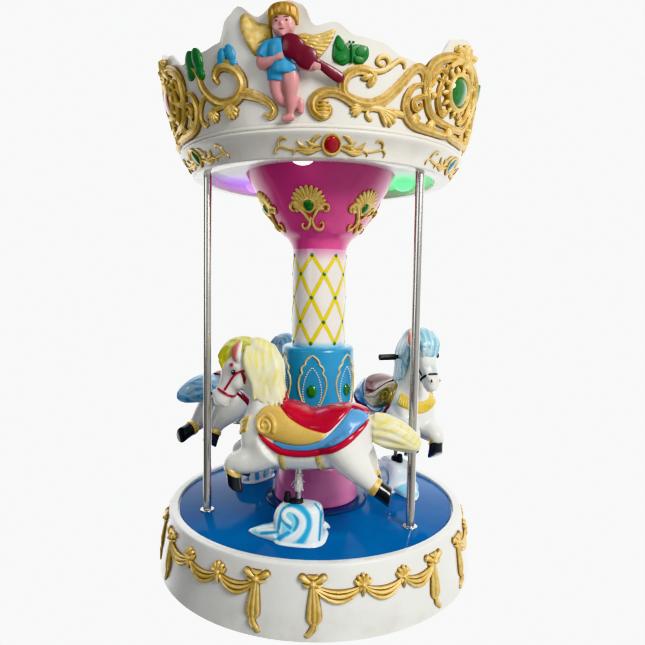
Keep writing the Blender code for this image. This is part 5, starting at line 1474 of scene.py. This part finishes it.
# Painted stripes of a wave, the dark teal ones painted shade in the grooves: how white each is, then x, height as seen
# and half width
STRIPES = (
    (0.92, ((0.094, 0.300, 0.018), (0.088, 0.360, 0.018), (0.078, 0.410, 0.020), (0.050, 0.446, 0.022), (0.000, 0.456, 0.022),
            (-0.042, 0.446, 0.026), (-0.076, 0.420, 0.030), (-0.092, 0.380, 0.034), (-0.096, 0.330, 0.036), (-0.088, 0.276, 0.038))),
    (0.26, ((0.022, 0.312, 0.010), (0.048, 0.288, 0.014), (0.072, 0.272, 0.014))),
    (0.82, ((0.062, 0.350, 0.006), (0.057, 0.332, 0.009), (0.057, 0.312, 0.008))),
    (0.10, ((0.066, 0.326, 0.006), (0.063, 0.366, 0.008), (0.058, 0.395, 0.008), (0.041, 0.421, 0.009), (0.018, 0.431, 0.009))),
    (0.30, ((0.018, 0.432, 0.009), (-0.014, 0.426, 0.012), (-0.039, 0.409, 0.013), (-0.056, 0.385, 0.013), (-0.061, 0.352, 0.013),
            (-0.053, 0.320, 0.013), (-0.039, 0.291, 0.014), (-0.020, 0.264, 0.015))),
    (0.06, ((0.056, 0.366, 0.004), (0.036, 0.349, 0.006), (0.014, 0.333, 0.006))),
    (0.10, ((0.004, 0.392, 0.004), (-0.010, 0.373, 0.007), (-0.013, 0.348, 0.008), (-0.004, 0.326, 0.007))),
    (1.00, ((0.016, 0.354, 0.006), (0.030, 0.362, 0.009), (0.044, 0.376, 0.010), (0.047, 0.393, 0.010), (0.033, 0.408, 0.010),
            (0.013, 0.409, 0.010), (-0.011, 0.396, 0.011), (-0.031, 0.375, 0.013), (-0.034, 0.347, 0.014), (-0.022, 0.318, 0.014),
            (0.002, 0.293, 0.015), (0.036, 0.272, 0.016))),
    (0.10, ((-0.070, 0.446, 0.003), (-0.098, 0.416, 0.004), (-0.103, 0.370, 0.004), (-0.103, 0.292, 0.004))),
    (0.40, ((0.091, 0.344, 0.004), (0.133, 0.339, 0.005), (0.172, 0.326, 0.005))),
    (0.86, ((0.086, 0.322, 0.010), (0.127, 0.320, 0.010), (0.165, 0.314, 0.009))),
    (0.12, ((0.068, 0.312, 0.005), (0.105, 0.305, 0.007), (0.145, 0.297, 0.006))),
    (0.90, ((0.080, 0.291, 0.008), (0.105, 0.289, 0.008), (0.150, 0.283, 0.008))))


def swirl(points):
    """How white each point of a wave is painted: 0 teal, 0.3 blue, 0.5 cyan, 1 white. The dark teal lines, sunk beside
    raised white swirls, are painted shade.
    """
    x, y, z = points.T
    seen = np.stack([x, z + SEEN_SLOPE * (0.08 - y)], -1)
    value = np.full(len(points), 0.5)
    for level, rows in STRIPES:
        path = spline([(px, 0, pz, half) for px, pz, half in rows], 60)
        near = (np.linalg.norm(seen[:, None] - path[None][..., [0, 2]], axis=2) / path[:, 3]).min(1)
        share = np.clip((1.3 - near) / 0.7, 0, 1)
        value = value + (level - value) * share
    return np.maximum(value, np.clip((0.284 - z) / 0.006, 0, 1))


def wave_parts():
    turns = np.arange(48) * 2 * math.pi / 48
    c, s = (np.sign(f) * np.abs(f) ** 0.62 for f in (np.cos(turns), np.sin(turns)))
    rings = [np.stack([cx + hx * c, cy + hy * s, np.full(48, z)], -1) for z, cx, hx, hy, cy in WAVE_LEVELS]
    shapes = [loft(rings), trunk(WAVE_TAIL, 30), bar(WAVE_FIN, 14, 14, flat=0.95)]
    lip = [np.stack([-0.012 + hx * c, 0.002 + hy * s, np.full(48, z)], -1)
           for z, hx, hy in ((0.264, 0.115, 0.107), (0.272, 0.115, 0.107), (0.276, 0.110, 0.102))]
    shapes.append(loft(lip))
    wave = sculpt("wave_shell", shapes, 0.0046, 3)
    floor = FLOOR_TOP + 0.0003

    def settle(points):
        points[:, 2] = np.maximum(points[:, 2], floor)
        face = np.clip(points[:, 1] / 0.05, 0, 1) * np.clip((points[:, 2] - floor) / 0.02, 0, 1)
        points[:, 1] += 0.0035 * (swirl(points) - 0.5) * face
        return points
    return set_mark(bent_mesh(wave, settle), "stripe", swirl)


def gland_parts():
    """A rubber oval and collar round the rod, with a stepped stop beside them."""
    low = WAVE_TOP + 0.0004
    turns = np.arange(32) * 2 * math.pi / 32
    oval = [np.stack([0.012 + wide * np.cos(turns), deep * np.sin(turns), np.full(32, z)], -1)
            for z, wide, deep in ((low, 0.034, 0.026), (low + 0.006, 0.034, 0.026), (low + 0.010, 0.031, 0.023), (low + 0.0115, 0.026, 0.019))]
    collar = lathe([(0.0128, low), (0.021, low), (0.021, GLAND_TOP - 0.003), (0.019, GLAND_TOP), (0.0128, GLAND_TOP)], 28)
    stop = lathe([(0, low), (0.0165, low), (0.0165, low + 0.020), (0.0150, low + 0.022), (0.0150, low + 0.034),
                  (0.0120, low + 0.040), (0.006, low + 0.0425), (0, low + 0.043)], 24)
    return [loft(oval), collar, stop.moved(lambda p: p + np.array((0.046, 0, 0)))]


def wrap_parts():
    """Torn white film wound round the front horse's rod."""
    rng = np.random.default_rng(4)
    turns = np.arange(20) * 2 * math.pi / 20
    rings = []
    for share in np.linspace(0, 1, 24):
        z = 0.4635 + 0.076 * share
        radius = 0.0140 + 0.0040 * math.sin(math.pi * min(1, 0.25 + share)) + rng.normal(0, 0.0007, 20)
        rings.append(np.stack([radius * np.cos(turns), radius * np.sin(turns), z + rng.normal(0, 0.0006, 20)], -1))
    shapes = [loft(rings)]
    for z, turn, reach, rise in ((0.500, 20, 0.020, -0.012), (0.502, 165, 0.018, 0.006), (0.478, 150, 0.015, -0.006), (0.476, 15, 0.013, 0.003),
                                 (0.530, 160, 0.012, 0.004), (0.512, 95, 0.016, -0.008), (0.488, 60, 0.012, 0.008)):
        a = math.radians(turn)
        out = np.array((math.cos(a), math.sin(a)))
        rows = [(*(out * (0.013 + reach * s)), z + rise * s * s + 0.004 * math.sin(5 * s), 0.0048 * (1 - 0.5 * s)) for s in (0, 0.35, 0.7, 1.0)]
        shapes.append(bar(rows, 8, 14, flat=0.22))
    return shapes


def build_waves(stripes, rubber, film):
    wave = wave_parts()
    gland = build_mesh("gland_rubber", merge(gland_parts()))
    for i in range(3):
        turn = HORSE_DEG + THIRD * i
        place = Matrix.Translation(polar(turn, HORSE_R)) @ Matrix.Rotation(math.radians(turn - 90), 4, "Z")
        for name, source, finish, slot in (("wave", wave, stripes, "wave_blue"), ("gland", gland, rubber, "black_rubber")):
            mesh = source.copy()
            mesh.transform(place)
            piece(f"{name}_form_{i + 1}", mesh, finish, "turntable", [f"{name}_{i + 1}"], 50)
        if i == 0:
            mesh = build_mesh("rod_film", merge(wrap_parts()))
            mesh.transform(place)
            made = piece("rod_film", mesh, film, "horse_lift_1", ["rod_wrap_1"], 70)
            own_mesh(made)


def build_lamps(finishes):
    """Shallow domes under the ceiling."""
    drop = CEILING_Z - 0.0003
    profile = [(0, drop - 0.0335), (0.016, drop - 0.0325), (0.030, drop - 0.0280), (0.041, drop - 0.0200), (0.0485, drop - 0.0100),
               (0.0515, drop), (0, drop)]
    for i, finish in enumerate(finishes):
        shift = polar(HORSE_DEG + THIRD * i, LAMP_R)
        piece(f"lamp_dome_{i + 1}", lathe(profile, 36).moved(lambda p: p + shift), finish, "turntable", [f"lamp_{i + 1}"])


# Light and camera
def area_light(name, place, target, size, watts, colour=(1, 1, 1)):
    data = bpy.data.lights.new(name, "AREA")
    data.shape, data.size, data.energy, data.color = "DISK", size, watts, colour
    made = bpy.data.objects.new(name, data)
    bpy.context.scene.collection.objects.link(made)
    made.location = place
    made.rotation_euler = (Vector(target) - Vector(place)).to_track_quat("-Z", "Y").to_euler()


def build_studio():
    """A white backdrop behind the carousel, and a room that is brighter on its right."""
    scene = bpy.context.scene
    scene.view_settings.view_transform = "Khronos PBR Neutral"
    world = bpy.data.worlds.new("studio")
    world.use_nodes = True
    tree = world.node_tree
    place = tree.nodes.new("ShaderNodeTexCoord")
    split = tree.nodes.new("ShaderNodeSeparateXYZ")
    tree.links.new(place.outputs["Generated"], split.inputs["Vector"])

    def ramp(axis, low, high, out_low, out_high):
        made = tree.nodes.new("ShaderNodeMapRange")
        made.interpolation_type = "SMOOTHSTEP"
        for name, number in (("From Min", low), ("From Max", high), ("To Min", out_low), ("To Max", out_high)):
            made.inputs[name].default_value = number
        tree.links.new(split.outputs[axis], made.inputs["Value"])
        return made
    room = ramp("X", -0.7, 0.9, ROOM_LEFT, ROOM_RIGHT)
    whole = ramp("Y", 0.15, 0.60, 0.0, BACKDROP)
    tree.links.new(room.outputs["Result"], whole.inputs["To Min"])
    tree.links.new(whole.outputs["Result"], tree.nodes["Background"].inputs["Strength"])
    tree.nodes["Background"].inputs["Color"].default_value = (0.995, 1.0, 1.0, 1)
    scene.world = world
    area_light("key", (2.6, -3.6, 3.4), (0, 0, 1.1), 2.0, 190, (1, 0.98, 0.94))
    area_light("fill", (-3.0, -3.4, 2.2), (0, 0, 1.0), 2.4, 26, (0.94, 0.97, 1))


def build_camera():
    data = bpy.data.cameras.new("camera")
    data.sensor_width = SENSOR_MM
    data.lens = CAMERA_FOCAL_PX / PICTURE_PX * SENSOR_MM
    made = bpy.data.objects.new("camera", data)
    bpy.context.scene.collection.objects.link(made)
    look = Vector((math.sin(CAMERA_YAW) * math.cos(CAMERA_PITCH), math.cos(CAMERA_YAW) * math.cos(CAMERA_PITCH),
                   -math.sin(CAMERA_PITCH)))
    level = Vector((math.cos(CAMERA_YAW), -math.sin(CAMERA_YAW), 0))
    over = level.cross(look)
    right = level * math.cos(CAMERA_ROLL) + over * math.sin(CAMERA_ROLL)
    up = over * math.cos(CAMERA_ROLL) - level * math.sin(CAMERA_ROLL)
    turn = Matrix((right, up, -look)).transposed().to_4x4()
    made.matrix_world = Matrix.Translation(CAMERA_AT) @ turn
    bpy.context.scene.camera = made


def paint_node(name, finish):
    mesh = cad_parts[name].data
    mesh.materials.clear()
    mesh.materials.append(finish)


def main():
    build_camera()
    build_studio()
    gold = gold_paint()
    steel = steel_paint()
    rubber = gloss("black_rubber", (0.022, 0.022, 0.024), roughness=0.55, coat=0.0, wave=0.5).material
    build_base(white_paint("skirt_white", (0.88, 0.89, 0.86), 0.02, 0.20), steel)
    floor_blue = gloss("floor_blue", (0.006, 0.13, 0.40), (0.004, 0.10, 0.34), 0.10, 0.0, 0.12)
    hub_navy = gloss("hub_navy", (0.030, 0.070, 0.20), roughness=0.10, coat=0.0, wave=0.1)
    for paint, level in ((floor_blue, 0.08), (hub_navy, 0.25)):
        paint.shader.inputs["Specular IOR Level"].default_value = level
    build_floor(floor_blue.material, hub_navy.material)
    build_column(gloss("bell_pink", (0.84, 0.27, 0.50), roughness=0.18, coat=0.3).material,
                 gloss("drum_blue", (0.045, 0.33, 0.62), roughness=0.18, coat=0.3).material,
                 shaft_paint(),
                 gloss("funnel_magenta", (0.78, 0.11, 0.33), roughness=0.20, coat=0.3).material)
    build_poles(steel)
    crown = white_paint("crown_white", (0.82, 0.80, 0.74), 1.80, 1.96)
    build_crown(crown)
    purple, mint = (0.42, 0.16, 0.82), (0.06, 0.80, 0.26)
    # painted glows of the green and purple lamps on the ceiling
    glows = [((*polar(HORSE_DEG + THIRD * i, LAMP_R)[:2], CEILING_Z), colour) for i, colour in ((1, mint), (2, purple))]
    paint_node("crown_ceiling", ceiling_paint(glows))
    build_lamps((glowing("lamp_lit", (1, 1, 1), 1.6), glowing("lamp_green", (0.12, 1.0, 0.40), 1.6), glowing("lamp_purple", (0.80, 0.30, 1.0), 1.6)))
    build_scrolls(gold)
    green, red = gem_paint("gem_green", (0.02, 0.20, 0.03)), gem_paint("gem_red", (0.46, 0.015, 0.03))
    blue_stone = gem_paint("gem_blue", (0.05, 0.34, 0.52))
    build_medallions(gold, (green, blue_stone, red))
    build_band_relief(gold, (red, blue_stone, green))
    build_butterflies(gloss("butterfly_green", (0.025, 0.20, 0.045), roughness=0.30, coat=0.3).material,
                      gloss("butterfly_blue", (0.05, 0.34, 0.58), roughness=0.30, coat=0.3).material)
    build_garlands(gold)
    # the lattice strips are dark olive on their flanks as painted shade, yellow on top
    build_column_ornament(striped_paint("shaft_yellow", "ridge", (0.0, (0.22, 0.24, 0.01)), (0.9, (0.78, 0.62, 0.012))),
                          gloss("shaft_green", (0.03, 0.20, 0.02), roughness=0.25).material, gold, green,
                          gloss("frame_cream", (0.86, 0.74, 0.40), (0.62, 0.48, 0.20), 0.3, 0.3).material,
                          gloss("bead_white", (0.86, 0.86, 0.80), roughness=0.25, coat=0.3).material)
    build_waves(striped_paint("wave_stripes", "stripe", (0.0, (0.08, 0.32, 0.44)), (0.25, (0.05, 0.44, 0.80)),
                              (0.5, (0.30, 0.72, 0.86)), (0.95, (0.88, 0.94, 0.96))), rubber,
                gloss("white_film", (0.66, 0.65, 0.62), roughness=0.4, coat=0.2).material)
    black_hoof = gloss("hoof_black", (0.012, 0.014, 0.018), roughness=0.22, coat=0.6).material
    black = gloss("black_strap", (0.012, 0.012, 0.013), roughness=0.45, coat=0.1).material
    reds = [gloss(f"seat_red_{k}", colour, roughness=0.18, coat=0.35).material
            for k, colour in enumerate(((0.56, 0.014, 0.040), (0.20, 0.008, 0.018), (0.20, 0.008, 0.018)), 1)]
    panel_gold = gloss("panel_gold", (0.90, 0.66, 0.22), (0.74, 0.50, 0.14), 0.30, 0.3).material
    panel_gold.node_tree.nodes["Principled BSDF"].inputs["Metallic"].default_value = 0.15
    olive = gloss("panel_olive", (0.26, 0.19, 0.035), (0.19, 0.15, 0.03), 0.26, 0.5).material
    sky = gloss("skirt_blue", (0.13, 0.40, 0.76), roughness=0.22, coat=0.3).material
    cream = (hair_paint("mane_cream", (0.86, 0.84, 0.62), (0.84, 0.74, 0.16)), hair_paint("mane_teal", (0.55, 0.72, 0.76), (0.10, 0.42, 0.60)),
             hair_paint("mane_blue", (0.34, 0.56, 0.74), (0.05, 0.26, 0.52)))
    lining = gloss("lining_pink", (0.72, 0.10, 0.11), (0.80, 0.30, 0.28), 0.26, 0.5).material
    # the third horse's white is dimmed to 0.70 as painted shade
    coats = (coat_paint("coat_grey", (0.30, 0.28, 0.27)), coat_paint("coat_teal", (0.22, 0.33, 0.38)), coat_paint("coat_slate_painted_shade", (0.22, 0.25, 0.29), 0.70))
    straps = (gloss("strap_red", (0.42, 0.014, 0.040), roughness=0.22, coat=0.6).material, black, black)
    light_collar = gloss("collar_yellow", (0.60, 0.50, 0.16), (0.52, 0.42, 0.10), 0.24, 0.6).material
    collar = gloss("collar_gold", (0.88, 0.68, 0.13), (0.70, 0.50, 0.06), 0.24, 0.6).material
    build_horses({
        "body": coats, "mane": cream, "tail": cream,
        "forelock": (hair_paint("forelock_lime", (0.72, 0.72, 0.20), (0.44, 0.42, 0.02), 1.5), cream[1], cream[2]),
        "ears": coats, "ear_linings": (lining,) * 3, "eyes": (black_hoof,) * 3, "eye_rims": (black,) * 3,
        "eye_glints": (gloss("glint_white", (0.85, 0.85, 0.85), coat=0.8).material,) * 3, "nostrils": (black,) * 3,
        "seat": reds, "panel": (panel_gold, olive, olive), "volute": (panel_gold, olive, olive), "skirt": (sky,) * 3,
        "edging": reds, "girths": (gold,) * 3, "collar": (light_collar, collar, collar), "collar_trim": (gold,) * 3, "collar_fringe": (collar,) * 3, "bridle": straps,
        "rosettes": (reds[0],) * 3, "hooves": (black_hoof,) * 3, "hoof_bands": (gold,) * 3})
    for i in range(3):
        paint_node(f"rod_{i + 1}", steel)
    for i in (2, 3):
        paint_node(f"handlebar_{i}", black)
    build_figures({
        "skin": gloss("figure_skin", (0.78, 0.42, 0.40), (0.62, 0.27, 0.27), 0.34, 0.2).material,
        "blue": gloss("figure_blue", (0.07, 0.36, 0.64), roughness=0.34, coat=0.2).material,
        "hair": gold_hair(),
        "violin": gloss("figure_maroon", (0.17, 0.016, 0.034), roughness=0.30, coat=0.3).material,
        "brown": gloss("figure_brown", (0.06, 0.025, 0.015), roughness=0.35, coat=0.2).material,
        "lips": gloss("figure_lips", (0.50, 0.07, 0.08), roughness=0.35, coat=0.2).material}, gold)


main()
